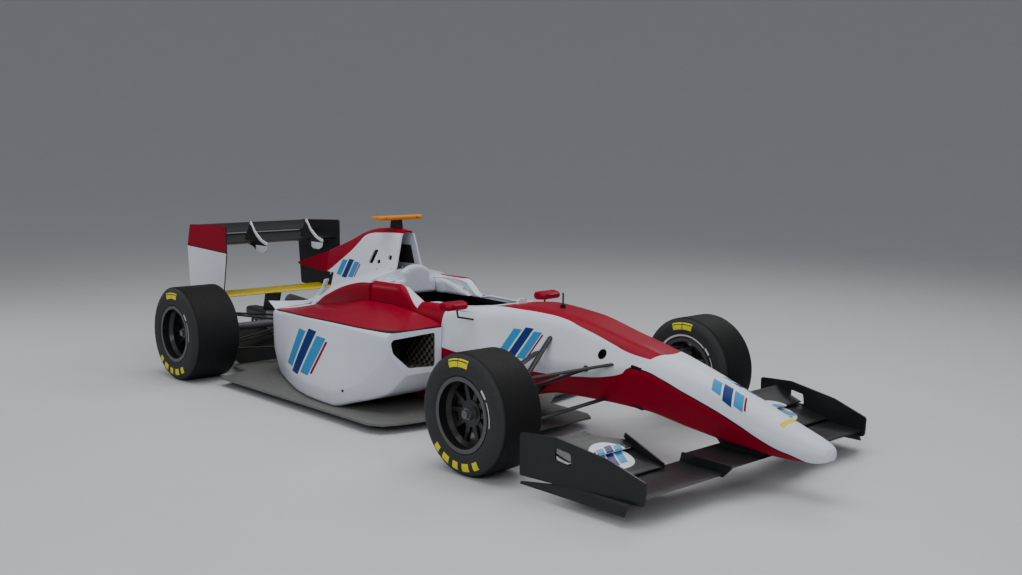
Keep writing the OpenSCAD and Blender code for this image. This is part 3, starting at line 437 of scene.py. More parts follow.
def rim_paint(where):
    """Satin black, with bright machined lips at both edges of the rim."""
    cx, cy, cz, w = WHEELS[where]
    g = Graph("rim_" + where, rough=0.38, coat=0.2)
    radius = g.reach(g.x - cx, g.z - cz)
    lip = g.least(radius - 0.1575, abs(g.y - cy) - (w / 2 - 0.018))
    dark = g.shade((0.008, 0.008, 0.009), 0.3, 30.0)
    colour = g.mix(g.inside(lip) * 0.10, dark, (0.55, 0.56, 0.58))
    nut = 0.033 - radius
    colour = g.over(colour, nut, (0.10, 0.10, 0.11))
    dust = g.noise(40.0, 4.0) * 0.25
    return g.done(g.mix(dust, colour, (0.024, 0.021, 0.018)), g.noise(30.0, 3.0) * 0.2 + 0.34)


def tyre_rubber(where):
    """Slick rubber: fine grain on the tread, ribs and generic arc marks on the sidewalls."""
    cx, cy, cz, w = WHEELS[where]
    g = Graph("tyre_" + where, rough=0.75, shine=0.25)
    dx, dz = g.x - cx, g.z - cz
    radius = g.reach(dx, dz)
    angle = g.math("ARCTAN2", dz, dx)
    face = abs(g.y - cy) - (w / 2 - 0.020)
    side = g.inside(face, 0.008)
    rubber = g.mix(g.noise(90.0, 5.0), (0.004, 0.004, 0.0045), (0.009, 0.009, 0.0095))
    wall = g.mix(g.noise(60.0, 4.0), (0.026, 0.027, 0.029), (0.038, 0.039, 0.041))
    colour = g.mix(side, rubber, wall)

    def turned(middle):
        return g.math("ABSOLUTE", g.math("WRAP", angle - math.radians(middle), math.pi, -math.pi))

    def arc(middle, half, r0, r1):
        return g.least((half - turned(middle)) * 0.24, radius - r0, r1 - radius)

    marks = arc(94, 0.27, 0.224, 0.262)
    for k in range(-2, 3):
        marks = g.most(marks, arc(262 + 17 * k, 0.098 if k % 2 else 0.075, 0.222, 0.260))
    gaps = g.most(0.0028 - abs(radius - 0.252), 0.0022 - turned(94) * 0.24)
    colour = g.over(colour, g.least(marks, face), g.shade((0.72, 0.66, 0.015), 0.08, 80.0))
    colour = g.over(colour, g.least(gaps, 0.26 - turned(94), face), (0.02, 0.02, 0.021))
    thin = g.least(g.most(arc(38, 0.11, 0.192, 0.205), arc(10, 0.30, 0.196, 0.201)), face)
    inboard = (cy - g.y) * math.copysign(1.0, cy) - (w / 2 - 0.020)
    thin = g.most(thin, g.least(arc(92, 0.80, 0.186, 0.197), inboard))
    colour = g.over(colour, thin, (0.62, 0.63, 0.64))
    ribs = g.math("SINE", radius * 900.0) * side
    g.bump(ribs, 0.0003, 0.4)
    g.bump(g.noise(500.0, 3.0), 0.0003, 0.5)
    return g.done(colour, g.noise(40.0, 4.0) * 0.2 + 0.58)


def core_grid():
    g = Graph("radiator_core", rough=0.5, metal=0.6)
    fins = g.math("FRACT", g.y * 160.0)
    tubes = g.math("FRACT", g.z * 70.0)
    grid = g.most(g.math("GREATER_THAN", fins, 0.72), g.math("GREATER_THAN", tubes, 0.78))
    g.bump(grid, 0.002, 0.8)
    return g.done(g.mix(grid, (0.012, 0.012, 0.013), g.shade((0.10, 0.10, 0.105), 0.2, 60.0)))


def foam():
    """Near-black open cell foam for the sheets that stand for the shade inside the airbox and vents: painted shade."""
    g = Graph("shade_sheet_foam", rough=0.85)
    cells = g.noise(900.0, 4.0)
    g.bump(cells, 0.002, 0.8)
    return g.done(g.mix(cells, (0.004, 0.004, 0.005), (0.022, 0.022, 0.024)))


def cloth_skin(name, colour):
    """Smooth wipe-clean skin over foam, with a fine grain."""
    g = Graph(name, rough=0.6, sheen=0.25)
    grain = g.noise(700.0, 3.0)
    g.bump(grain, 0.00025, 0.5)
    colour = g.mix(g.noise(20.0, 4.0) * 0.6, colour, tuple(c * 0.86 for c in colour))
    return g.done(colour, grain * 0.2 + 0.45)


def lamp_glass():
    g = Graph("lamp", rough=0.2, coat=0.6)
    cells = g.most(g.math("FRACT", g.y * 110.0), g.math("FRACT", g.z * 110.0))
    dots = g.math("GREATER_THAN", cells, 0.75)
    g.bump(cells, 0.0008, 0.6)
    return g.done(g.mix(dots, (0.40, 0.010, 0.012), (0.16, 0.004, 0.006)))


def webbing_cloth():
    """Woven strap: ribs along it and fine picks across."""
    g = Graph("webbing", rough=0.8, sheen=0.3)
    ribs = g.math("SINE", g.y * 2600.0)
    picks = g.math("SINE", (g.x + g.z) * 3800.0)
    g.bump(ribs * picks, 0.0004, 0.7)
    colour = g.mix(g.noise(120.0, 4.0), (0.010, 0.010, 0.011), (0.024, 0.024, 0.026))
    return g.done(colour, g.noise(60.0, 3.0) * 0.2 + 0.65)


def grip_rubber():
    g = Graph("grip_rubber", rough=0.7)
    pips = g.math("SINE", g.z * 1400.0) * g.math("SINE", g.y * 1400.0)
    g.bump(pips, 0.0006, 0.7)
    colour = g.mix(g.noise(140.0, 4.0), (0.008, 0.008, 0.009), (0.016, 0.016, 0.017))
    return g.done(colour, g.noise(80.0, 3.0) * 0.2 + 0.55)


def screen_glass():
    g = Graph("screen", rough=0.12, coat=0.6)
    rows = g.math("GREATER_THAN", g.math("FRACT", g.z * 260.0), 0.82)
    colour = g.mix(rows * 0.3, g.shade((0.006, 0.008, 0.012), 0.3, 60.0), (0.03, 0.05, 0.07))
    return g.done(colour, g.noise(50.0, 3.0) * 0.08 + 0.08)


def mirror_glass():
    g = Graph("mirror_glass", rough=0.04, metal=1.0)
    return g.done(g.shade((0.62, 0.66, 0.70), 0.04, 20.0), g.noise(60.0, 4.0) * 0.05 + 0.02)


def knob(name, colour):
    g = Graph(name, rough=0.45)
    g.bump(g.noise(1500.0, 2.0), 0.0002, 0.5)
    return g.done(g.shade(colour, 0.12, 300.0), g.noise(300.0, 2.0) * 0.2 + 0.35)


CARBON = carbon()
RUBBER = grip_rubber()
SCREEN = screen_glass()
GLASS = mirror_glass()
BLACK_TRIM = carbon("carbon_dark", (0.004, 0.004, 0.0045), 0.5)
STEEL = metal("steel", (0.20, 0.20, 0.21), 0.42, (1.0, 6.0, 6.0))
ALLOY = metal("alloy", (0.34, 0.345, 0.36), 0.5, (2.0, 2.0, 2.0))
WHITE_PAINT = plain_paint("paint_white", WHITE, 0.03)


# Mesh building

def new_mesh(name, verts, faces, material, body="chassis", soft=True, sharp=35.0):
    mesh = bpy.data.meshes.new(name)
    mesh.from_pydata([tuple(map(float, v)) for v in verts], [], faces)
    mesh.update()
    obj = bpy.data.objects.new(name, mesh)
    bpy.context.scene.collection.objects.link(obj)
    mesh.materials.append(material)
    if soft:
        soften(obj, sharp)
    if body:
        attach(obj, body)
    return obj


def soften(obj, sharp=35.0):
    """Smooth shading that breaks at edges sharper than the angle."""
    bm = bmesh.new()
    bm.from_mesh(obj.data)
    bmesh.ops.recalc_face_normals(bm, faces=bm.faces)
    limit = math.radians(sharp)
    for f in bm.faces:
        f.smooth = True
    for e in bm.edges:
        e.smooth = len(e.link_faces) != 2 or e.calc_face_angle(0.0) < limit
    bm.to_mesh(obj.data)
    bm.free()


def bevel(obj, width, segments=2, angle=40.0):
    m = obj.modifiers.new("edges", "BEVEL")
    m.width = width
    m.segments = segments
    m.limit_method = "ANGLE"
    m.angle_limit = math.radians(angle)


def apply_modifiers(obj):
    dg = bpy.context.evaluated_depsgraph_get()
    made = bpy.data.meshes.new_from_object(obj.evaluated_get(dg))
    obj.modifiers.clear()
    old = obj.data
    obj.data = made
    bpy.data.meshes.remove(old)


MERGE = 3e-5


def clean(obj):
    """Merges doubled points and takes away faces without area and folded pairs of faces."""
    bm = bmesh.new()
    bm.from_mesh(obj.data)
    bmesh.ops.remove_doubles(bm, verts=bm.verts, dist=MERGE)
    bmesh.ops.dissolve_degenerate(bm, edges=bm.edges, dist=MERGE)
    bmesh.ops.triangulate(bm, faces=[f for f in bm.faces if len(f.verts) > 4])
    same = {}
    for f in bm.faces:
        same.setdefault(frozenset(v.index for v in f.verts), []).append(f)
    bmesh.ops.delete(bm, geom=[f for group in same.values() if len(group) > 1 for f in group], context="FACES")
    bm.to_mesh(obj.data)
    bm.free()


def cut(obj, tools):
    """Takes the tools' volumes out of obj and removes the tools."""
    for t in tools:
        m = obj.modifiers.new("cut", "BOOLEAN")
        m.operation = "DIFFERENCE"
        m.solver = "EXACT"
        m.object = t
    bpy.context.view_layer.update()
    apply_modifiers(obj)
    clean(obj)
    for t in tools:
        data = t.data
        bpy.data.objects.remove(t)
        bpy.data.meshes.remove(data)


def corner(a, b, c, r, n):
    """n points on the arc of radius r that rounds the corner b between a and c."""
    u, v = (a - b) / np.linalg.norm(a - b), (c - b) / np.linalg.norm(c - b)
    bend = math.acos(max(-1, min(1, float(u @ v))))
    q = min(r, 0.48 * min(np.linalg.norm(a - b), np.linalg.norm(c - b)) * math.tan(bend / 2))
    way = (u + v) / np.linalg.norm(u + v)
    middle = b + way * q / math.sin(bend / 2)
    first = b + u * q / math.tan(bend / 2) - middle
    last = b + v * q / math.tan(bend / 2) - middle
    start = math.atan2(first[1], first[0])
    turn = math.atan2(last[1], last[0]) - start
    turn = turn - 2 * math.pi if turn > math.pi else turn + 2 * math.pi if turn < -math.pi else turn
    return [middle + q * np.array([math.cos(start + turn * k / (n - 1)), math.sin(start + turn * k / (n - 1))])
            for k in range(n)]


def rounded(points, radii, n=8, fill=5):
    """A polygon with rounded corners, n points in each and fill points on each straight side."""
    pts = [np.array(p, float) for p in points]
    count = len(pts)
    arcs = [corner(pts[i - 1], pts[i], pts[(i + 1) % count], radii[i], n) for i in range(count)]
    out = []
    for i, arc in enumerate(arcs):
        out += arc
        a, b = arc[-1], arcs[(i + 1) % count][0]
        out += [a + (b - a) * k / (fill + 1) for k in range(1, fill + 1)]
    return np.array(out)


def smooth(rows, steps):
    """The rows of a table with steps - 1 more between each pair, on a curve without overshoot."""
    rows = np.array(rows, float)
    d = np.diff(rows, axis=0) / np.diff(rows[:, :1], axis=0)
    m = np.empty_like(rows)
    m[0], m[-1] = d[0], d[-1]
    with np.errstate(divide="ignore", invalid="ignore"):
        m[1:-1] = np.where(d[:-1] * d[1:] > 0, 2 * d[:-1] * d[1:] / (d[:-1] + d[1:]), 0.0)
    out = []
    for i in range(len(rows) - 1):
        h = rows[i + 1, 0] - rows[i, 0]
        for k in range(steps):
            t = k / steps
            out.append((2 * t**3 - 3 * t**2 + 1) * rows[i] + (t**3 - 2 * t**2 + t) * h * m[i]
                       + (3 * t**2 - 2 * t**3) * rows[i + 1] + (t**3 - t**2) * h * m[i + 1])
    out.append(rows[-1])
    return out


def curve_through(points, steps):
    """Points on a smooth line through the given ones, steps to each span."""
    pts = [np.array(q, float) for q in points]
    out = []
    for i in range(len(pts) - 1):
        p0, p1, p2, p3 = pts[max(i - 1, 0)], pts[i], pts[i + 1], pts[min(i + 2, len(pts) - 1)]
        for k in range(steps):
            u = k / steps
            out.append(0.5 * (2 * p1 + (p2 - p0) * u + (2 * p0 - 5 * p1 + 4 * p2 - p3) * u * u
                              + (3 * p1 - p0 - 3 * p2 + p3) * u**3))
    out.append(pts[-1])
    return out


def circle(n):
    """n points on a circle of radius 1."""
    return [(math.cos(t), math.sin(t)) for t in np.linspace(0, 2 * math.pi, n, endpoint=False)]


def rounded_box(a, b, r, n, fill):
    """A rectangle of half sides a and b with corners of radius r."""
    return rounded([(-a, -b), (a, -b), (a, b), (-a, b)], [r] * 4, n, fill)


def mirrored(half):
    """The right half of an outline with its mirror image."""
    return half + [(-y, z) for y, z in reversed(half)]


def direction(path, i, closed=False):
    """Unit vector along a path at its point i."""
    n = len(path)
    a, b = ((i - 1) % n, (i + 1) % n) if closed else (max(i - 1, 0), min(i + 1, n - 1))
    return (path[b] - path[a]) / np.linalg.norm(path[b] - path[a])


def loft(name, sections, material, body="chassis", sharp=35.0, arch=None, closed=False, soft=True):
    """A solid through sections; a closed one joins its last section to its first.

    An arch has its ends closed between its outside and its inside, arch points a side.
    """
    count, rows = len(sections[0]), len(sections)
    faces = []
    for i in range(rows if closed else rows - 1):
        here, there = i * count, (i + 1) % rows * count
        for j in range(count):
            k = (j + 1) % count
            faces.append((here + j, here + k, there + k, there + j))
    last = (rows - 1) * count
    if arch is not None:
        pair = count - 1 - arch
        for i in range(-(arch + 1) // 2, pair // 2):
            ring = [i % count, (i + 1) % count, (pair - i - 1) % count, (pair - i) % count]
            ring = list(dict.fromkeys(ring))
            faces.append(tuple(reversed(ring)))
            faces.append(tuple(last + k for k in ring))
    elif not closed:
        faces.append(tuple(range(count - 1, -1, -1)))
        faces.append(tuple(range(last, last + count)))
    return new_mesh(name, np.concatenate(sections), faces, material, body, soft, sharp)


def tube(name, path, radius, material, body="chassis", closed=False, sides=10):
    """A round tube along a path of points."""
    path = [np.array(p, float) for p in path]
    rings = []
    for i, p in enumerate(path):
        along = direction(path, i, closed)
        one = np.cross(along, (0.0, 0.0, 1.0) if abs(along[2]) < 0.9 else (1.0, 0.0, 0.0))
        one /= np.linalg.norm(one)
        two = np.cross(one, along)
        rings.append([p + radius * (c * one + s * two) for c, s in circle(sides)])
    return loft(name, rings, material, body, closed=closed)


# Nose and tub, with the same tables as their solids but closer sections

def nose_at(share):
    return SEAM + (fx(1.352) - SEAM) * share


# Station, half widths at belly, waist and crown, heights of belly, waist and crown, radius at the crown
NOSE_ROWS = [
    [fx(1.352), .008, .014, .008, .204, .214, .226], [fx(1.338), .038, .050, .036, .186, .212, .244],
    [fx(1.292), .056, .074, .052, .174, .212, .266], [nose_at(.81), .072, .098, .066, .168, .226, .312],
    [nose_at(.553), .092, .120, .078, .184, .292, .406], [nose_at(.296), .116, .144, .092, .220, .384, .484],
    [nose_at(.079), .136, .166, .104, .256, .449, .540], [SEAM, .141, .174, .108, .259, .446, .560]]
FLOOR_TOP = 0.0573
TUB_ROWS = [
    [SEAM - GAP, .141, .174, .108, .259, .446, .560, .100], [fx(0.200), .150, .190, .116, .262, .440, .590, .100],
    [fx(-0.100), .170, .222, .140, .258, .420, .652, .100], [fx(-0.400), .190, .250, .166, .190, .400, .670, .100],
    [fx(-0.640), .210, .275, .200, .110, .400, .645, .100], [fx(-0.860), .230, .300, .236, FLOOR_TOP, .390, .624, .100],
    [fx(-1.160), .240, .300, .266, FLOOR_TOP, .390, .625, .080],
    [fx(-1.330), .240, .300, .284, FLOOR_TOP, .390, .708, .050],
    [BULKHEAD, .240, .300, .288, FLOOR_TOP, .390, .706, .056]]


def body_section(row, wall=0.0, cap=10.0):
    """Outline across the body at a row, taken in by a wall and cut off at a height."""
    x, belly, waist, crown = row[0], row[1] - wall, row[2] - wall, row[3] - wall
    low, middle, high = row[4] + wall, row[5], min(row[6] - wall, cap)
    top = row[7] if len(row) > 7 else .100
    outline = rounded([(-belly, low), (belly, low), (waist, middle), (crown, high), (-crown, high), (-waist, middle)],
                      [.030, .030, .090, top, top, .090])
    return np.column_stack([np.full(len(outline), x), outline])


def tub_top(x):
    """Height of the tub's top along the middle."""
    table = np.array(smooth(TUB_ROWS, 20))[::-1]
    return float(np.interp(x, table[:, 0], table[:, 6]))


NOSE_PAINT = nose_paint()
TUB_PAINT = tub_paint()
nose = loft("nose_shell", [body_section(r) for r in smooth(NOSE_ROWS, 10)], NOSE_PAINT)


def block(name, middle, size, turn=0.0):
    """A cutting block with rounded ends, turned about Y."""
    lx, ly, lz = (v / 2 for v in size)
    c, s = math.cos(turn), math.sin(turn)
    ring = [(middle[0] + p * c + q * s, middle[2] - p * s + q * c) for p, q in rounded_box(lx, lz, lz * 0.8, 5, 0)]
    return loft(name, [[(x, middle[1] + d, z) for x, z in ring] for d in (ly, -ly)], BLACK_TRIM, None, soft=False)


cut(nose, [block("latch", (SEAM + 0.034, side * y, z), (0.066, 0.044, 0.016), math.radians(8))
           for side in (-1, 1) for y, z in ((0.165, 0.464), (0.142, 0.268))])
soften(nose)
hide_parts("nose_cone")

for side, name in SIDES:
    for k, (y, z) in enumerate(((0.150, 0.464), (0.126, 0.268))):
        latch = block("latch_%s_%d" % (name, k), (SEAM + 0.034, side * y, z), (0.062, 0.020, 0.0125), math.radians(8))
        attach(latch, "chassis")
    rows = [[(fx(.161) + r * c, side * y, .501 + r * s) for c, s in circle(32)]
            for y, r in ((.138, .0205), (.145, .0205), (.1465, .019), (.145, .012), (.1465, .009), (.147, .002))]
    loft("side_plug_" + name, rows, BLACK_TRIM)

OPENING = rounded([(DASH, -.140), (DASH, .140), (fx(-.900), .190), (fx(-1.340), .222), (BULKHEAD + .030, .222),
                   (BULKHEAD + .030, -.222), (fx(-1.340), -.222), (fx(-.900), -.190)],
                  [.012, .012, .160, .020, .070, .070, .020, .160], 8, 8)


def inner_rows():
    table = np.array(TUB_ROWS)
    inside = [list(r) for r in table if BULKHEAD + 0.001 < r[0] < SEAM - 0.03]
    front = [SEAM - 0.030] + list(smooth(TUB_ROWS, 20)[3][1:])
    back = [BULKHEAD + 0.030] + list(table[-1][1:])
    return [front] + inside + [back]


tub = loft("tub_shell", [body_section(r) for r in smooth(TUB_ROWS, 10)], TUB_PAINT)
hollow = loft("hollow", [body_section(r, .026, .590) for r in smooth(inner_rows(), 4)], BLACK_TRIM, None)
mouth = loft("mouth", [[(x, y, z) for x, y in OPENING] for z in (0.53, 0.93)], WHITE_PAINT, None)
holes = []
for side in (-1, 1):
    for s, y0, z0, y1, z1, radius, sides in ((.084, .115, .430, .400, .3987, .017, 24),
                                             (.161, .130, .501, .240, .501, .022, 32)):
        path = [(fx(s), side * y0, z0), (fx(s), side * y1, z1)]
        holes.append(tube("hole", path, radius, BLACK_TRIM, None, sides=sides))


def edge_size(s):
    """Width and depth of the sloped band beside the driver."""
    at = [1.06, 1.18, 1.34, 1.42, 1.60]
    wide = np.interp(-s, at, [.002, .040, .040, .050, .050])
    return float(wide), float(np.interp(-s, at, [.001, .022, .020, .013, .013]))


def sloped_edge(side):
    """Takes the inner edge of the hump down, so that its band faces inwards."""
    rows = []
    for s in np.linspace(-1.05, -1.60, 45):
        y = float(np.interp(-s, [0.90, 1.34, 1.60], [.190, .222, .222]))
        wide, deep = edge_size(s)
        top = tub_top(fx(s))
        out = wide * (deep + .010) / deep
        rows.append([(fx(s), side * a, b) for a, b in ((y - .002, top - deep), (y + out, top + .010),
                                                       (y - .040, top + .010), (y - .040, top - deep))])
    return loft("edge", rows, TUB_PAINT, None)


cut(tub, [hollow, mouth] + holes + [sloped_edge(1), sloped_edge(-1)])
soften(tub)
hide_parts("monocoque")
rim_path = [(x, y, tub_top(x) - edge_size(x - FRONT_AXLE)[1]) for x, y in OPENING]
tube("cockpit_edge", rim_path, 0.006, WHITE_PAINT, closed=True)

# Engine cover and sidepods

HOOP = 0.992


def tail_at(share):
    return BULKHEAD + (COVER_END - BULKHEAD) * share


def rise(neck, share):
    """A height a share of the way from the neck up to the roll hoop."""
    return neck + (HOOP - neck) * share


# Station, shoulder height, neck half width and height, crown half width and height, rake, crown height inside
COVER_ROWS = [
    [BULKHEAD - GAP, .704, .104, .752, .046, rise(.752, .958), .05, rise(.752, .921)],
    [tail_at(.14), .692, .110, .728, .048, rise(.728, 1), .03, rise(.728, .966)],
    [tail_at(.32), .662, .110, .694, .044, rise(.694, .973), 0, rise(.694, .943)],
    [tail_at(.49), .624, .102, .658, .036, rise(.658, .889), 0, rise(.658, .862)],
    [tail_at(.733), .552, .088, .594, .026, rise(.594, .719), 0, rise(.594, .643)],
    [COVER_END, .470, .066, .545, .016, rise(.545, .584), 0, rise(.545, .235)]]
COVER_FOOT = 0.420
COVER_WALL = 0.009
FOOT_POINTS = (69, 141)


def cover_half(x):
    return 0.300 + (0.165 - 0.300) * (BULKHEAD - x) / (BULKHEAD - COVER_END)


def cover_section(row):
    x, w = row[0], COVER_WALL
    foot = cover_half(x)
    inner, neck, crown = foot - w, row[2] - w, max(row[4] - w, .004)
    outside = [(row[4], row[5]), (row[2], row[3]), (foot, row[1]), (foot, COVER_FOOT)]
    inside = [(inner, COVER_FOOT), (inner, row[1] - w), (neck, row[3] - w), (crown, row[7])]
    outline = rounded([(-y, z) for y, z in reversed(outside)] + outside + mirrored(inside),
                      [.002, .060, .050, .040, .040, .050, .060, .002, .002, .052, .058, .032, .032, .058, .052, .002],
                      6, 3)
    # The points along each foot's underside bow a little, which keeps them apart from the ends' caps
    for first in FOOT_POINTS:
        outline[first:first + 3, 1] -= (.0003, .0004, .0003)
    shift = row[6] * np.maximum(0, outline[:, 1] - .745)
    return np.column_stack([x - shift, outline])


def square_hole(s, z, half_x, half_z, lean=0.0):
    """Cutters through both flanks of the cover, with a slant along it."""
    ring = [(fx(s) + dx + lean * dz, z + dz)
            for dx, dz in rounded_box(half_x, half_z, min(half_x, half_z) * 0.5, 5, 0)]
    return [loft("hole", [[(x, side * y, h) for x, h in ring] for y in (0.035, 0.160)], COVER_PAINT, None, 20.0)
            for side in (-1, 1)]


COVER_PAINT = cover_paint()
COVER_STEPS = 10
cover_sections = [cover_section(r) for r in smooth(COVER_ROWS, COVER_STEPS)]
airbox = loft("airbox_shell", cover_sections[:COVER_STEPS + 1], COVER_PAINT, arch=3)
cut(airbox, square_hole(-1.649, .819, .018, .014) + square_hole(-1.614, .752, .006, .007))
cover_sections = cover_sections[COVER_STEPS:]
cover_sections[0] = cover_sections[0] - [GAP, 0, 0]
cover = loft("cover_shell", cover_sections, COVER_PAINT, arch=3)
cut(cover, square_hole(-1.757, .787, .017, .012) + square_hole(-1.760, .742, .006, .007)
    + square_hole(-1.8235, .812, .023, .044, 0.50))
# Hot air leaves ahead of a thin lip that stands up from the deck
VENT = [(-2.386, .512), (-2.345, .498), (-2.305, .545), (-2.294, .668), (-2.410, .668), (-2.410, .618), (-2.388, .612)]
cut(cover, [loft("vent", [[(fx(s), side * y, z) for s, z in VENT] for y in (0.012, 0.230)], COVER_PAINT, None)
            for side in (-1, 1)])
for shell, node in ((airbox, "airbox"), (cover, "engine_cover")):
    soften(shell)
    bevel(shell, 0.0022, 2, 55.0)
    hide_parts(node)


def wall_half(z):
    """Half width inside the airbox at a height."""
    return 0.110 - 0.2348 * (z - 0.728) - COVER_WALL


def sheet(name, corners, thick, material):
    """A thin plate over four corners, thickened along its normal."""
    corners = np.array(corners, float)
    normal = np.cross(corners[1] - corners[0], corners[3] - corners[0])
    normal *= thick / np.linalg.norm(normal)
    obj = loft(name, [corners, corners + normal], material)
    bevel(obj, min(0.001, thick * 0.3), 2, 50.0)


# Near-black foam sheets in the airbox, behind its small holes, in the vent and across the intake: painted shade
SHADE_FOAM = foam()
# Dark sheets on the airbox walls stand for the shade in the engine's duct, and those behind the small holes for the
# shade inside them: painted shade
for side, name in SIDES:
    for label, inset, corners in (
            ("duct_shade_panel_", .004, ((-1.800, .770), (-1.632, .776), (-1.632, .890), (-1.800, .886))),
            ("hole_shade_back_", .005, ((-1.628, .744), (-1.600, .744), (-1.600, .762), (-1.628, .762)))):
        panel = [(fx(s), side * (wall_half(z) - inset), z) for s, z in corners]
        sheet(label + name, panel, 0.002, SHADE_FOAM)
sheet("duct_floor", [(fx(s), y, z) for s, y, z in ((-1.582, -.088, .742), (-1.582, .088, .742), (-1.815, .088, .730),
                                                   (-1.815, -.088, .730))], 0.003, WHITE_PAINT)
# A dark sheet in the middle of the vents, so that they show shade through them: painted shade
sheet("vent_shade_sheet", [(fx(s), -.001, z) for s, z in ((-2.398, .440), (-2.200, .440), (-2.200, .690), (-2.398, .664))],
      0.002, SHADE_FOAM)
# A dark foam filter across the airbox that also stands for the shade of the engine bay behind the intake: painted shade
FILTER_SHADE_CORNERS = [(-1, .735), (1, .735), (1, .965), (-1, .965)]
sheet("filter_shade_sheet", [(fx(-1.812), side * wall_half(z), z) for side, z in FILTER_SHADE_CORNERS], 0.006, SHADE_FOAM)

# Station, low edge, half widths at foot and waist, waist height, outer edge of the deck, inner height of the deck
POD_ROWS = [
    [POD_FRONT, .274, .545, .655, .400, .676, .510, .526], [fx(-.990), .165, .612, .660, .330, .674, .512, .548],
    [fx(-1.190), .096, .690, .694, .190, .666, .513, .576], [fx(-1.350), FLOOR_TOP, .730, .734, .150, .652, .508, .590],
    [BULKHEAD, FLOOR_TOP, .714, .718, .148, .624, .500, .588],
    [tail_at(.224), FLOOR_TOP, .674, .678, .148, .590, .490, .556],
    [tail_at(.515), FLOOR_TOP, .590, .594, .148, .530, .476, .512],
    [tail_at(.782), FLOOR_TOP, .500, .504, .148, .478, .462, .482],
    [COVER_END, .190, .440, .444, .280, .446, .452, .462],
    [COVER_END - .024, .198, .420, .424, .282, .424, .449, .459],
    [COVER_END - .036, .208, .386, .390, .284, .388, .446, .457]]
INLET = rounded([(-.346, .300), (-.346, .488), (-.652, .476), (-.632, .402), (-.528, .312)],
                [.016, .014, .024, .050, .040], 8, 7)


def pod_section(row):
    inner = (0.300 if row[0] > BULKHEAD else cover_half(row[0])) + GAP
    outline = rounded([(-inner, row[1]), (-inner, row[7]), (-row[5], row[6]), (-row[3], row[4]), (-row[2], row[1])],
                      [.003, .006, .034, .120, .020], 8, 7)
    return np.column_stack([np.full(len(outline), row[0]), outline])


def inlet_section(x, size):
    middle = np.array([-.480, .400])
    pts = middle + (INLET - middle) * size
    return np.column_stack([np.full(len(pts), x), pts])


# A thin lip stands on the deck's rear edge and runs up the cover's tail
LIP = [(.434, .452), (.390, .456), (.340, .459), (.270, .463), (.215, .465), (.175, .470), (.140, .486),
       (.112, .507), (.088, .530), (.070, .556), (.061, .584), (.054, .612)]


def deck_lip(name, side):
    path = np.array(LIP)
    rows = []
    for i, q in enumerate(path):
        along = direction(path, i)
        tall = np.array([-along[1], along[0]]) * np.interp(i, [0, 3, 5, 11], [-.046, -.027, -.021, -.009])
        lean = float(np.interp(i, [0, 1, 4], [.070, .045, 0]))
        tip = q + tall
        rows.append([(fx(s) - back, side * y, z) for s, back, (y, z) in
                     ((-2.398, 0, q), (-2.397, lean, tip), (-2.393, lean, tip), (-2.391, 0, q))])
    obj = loft(name, rows, WHITE_PAINT)
    bevel(obj, 0.0012, 2, 50.0)
    bpy.context.view_layer.update()
    apply_modifiers(obj)
    clean(obj)


deck_lip("deck_lip_right", -1)
deck_lip("deck_lip_left", 1)

POD_PAINT = pod_paint()
for name, side in (("right", 1), ("left", -1)):
    sections = [inlet_section(POD_FRONT - .3 * (1 - k / 6), .96 + .04 * k / 6) for k in range(7)]
    sections += [pod_section(r) for r in smooth(POD_ROWS, 9)]
    pod = loft("pod_shell_" + name, [s * [1, side, 1] for s in sections], POD_PAINT)
    bevel(pod, 0.006, 3, 55.0)
    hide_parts("sidepod_" + name)

# Cockpit
# A sill closes the step between the tub's top and the airbox
SILL = mirrored([(.290, .600), (.2905, .662), (.280, .687), (.262, .703), (.240, .714), (.150, .739), (.104, .750),
                 (.060, .752)])
sill = loft("airbox_sill", [[(x, *q) for q in SILL] for x in (BULKHEAD - 0.030, BULKHEAD - 0.0005)], COVER_PAINT)
bevel(sill, 0.001, 2, 50.0)

PAD_SKIN = cloth_skin("headrest_skin", (0.60, 0.62, 0.72))
VOXEL = 0.005
SWELL = 0.005
PRESSURE = 4.0
FRAMES = 20


def pad(name, sections):
    """Foam under a tight skin: the closed form is remeshed, swollen as cloth and smoothed."""
    obj = loft(name, sections, PAD_SKIN)
    m = obj.modifiers.new("voxels", "REMESH")
    m.mode = "VOXEL"
    m.voxel_size = VOXEL
    m = obj.modifiers.new("ease", "SMOOTH")
    m.iterations = 6
    m.factor = 0.5
    bpy.context.view_layer.update()
    apply_modifiers(obj)
    before = np.array([v.co for v in obj.data.vertices])
    m = obj.modifiers.new("skin", "CLOTH")
    m.settings.use_pressure = True
    m.settings.uniform_pressure_force = PRESSURE
    m.settings.effector_weights.gravity = 0.0
    m.point_cache.frame_start, m.point_cache.frame_end = 1, FRAMES
    for f in range(1, FRAMES + 1):
        bpy.context.scene.frame_set(f)
    dg = bpy.context.evaluated_depsgraph_get()
    after = np.array([v.co for v in obj.evaluated_get(dg).data.vertices])
    obj.modifiers.clear()
    bpy.context.scene.frame_set(1)
    move = after - before
    size = np.maximum(np.linalg.norm(move, axis=1, keepdims=True), 1e-9)
    after = before + move * np.minimum(1.0, SWELL / size)
    obj.data.vertices.foreach_set("co", after.ravel())
    obj.data.update()
    m = obj.modifiers.new("round", "SUBSURF")
    m.levels = m.render_levels = 1
    for poly in obj.data.polygons:
        poly.use_smooth = True
    return obj


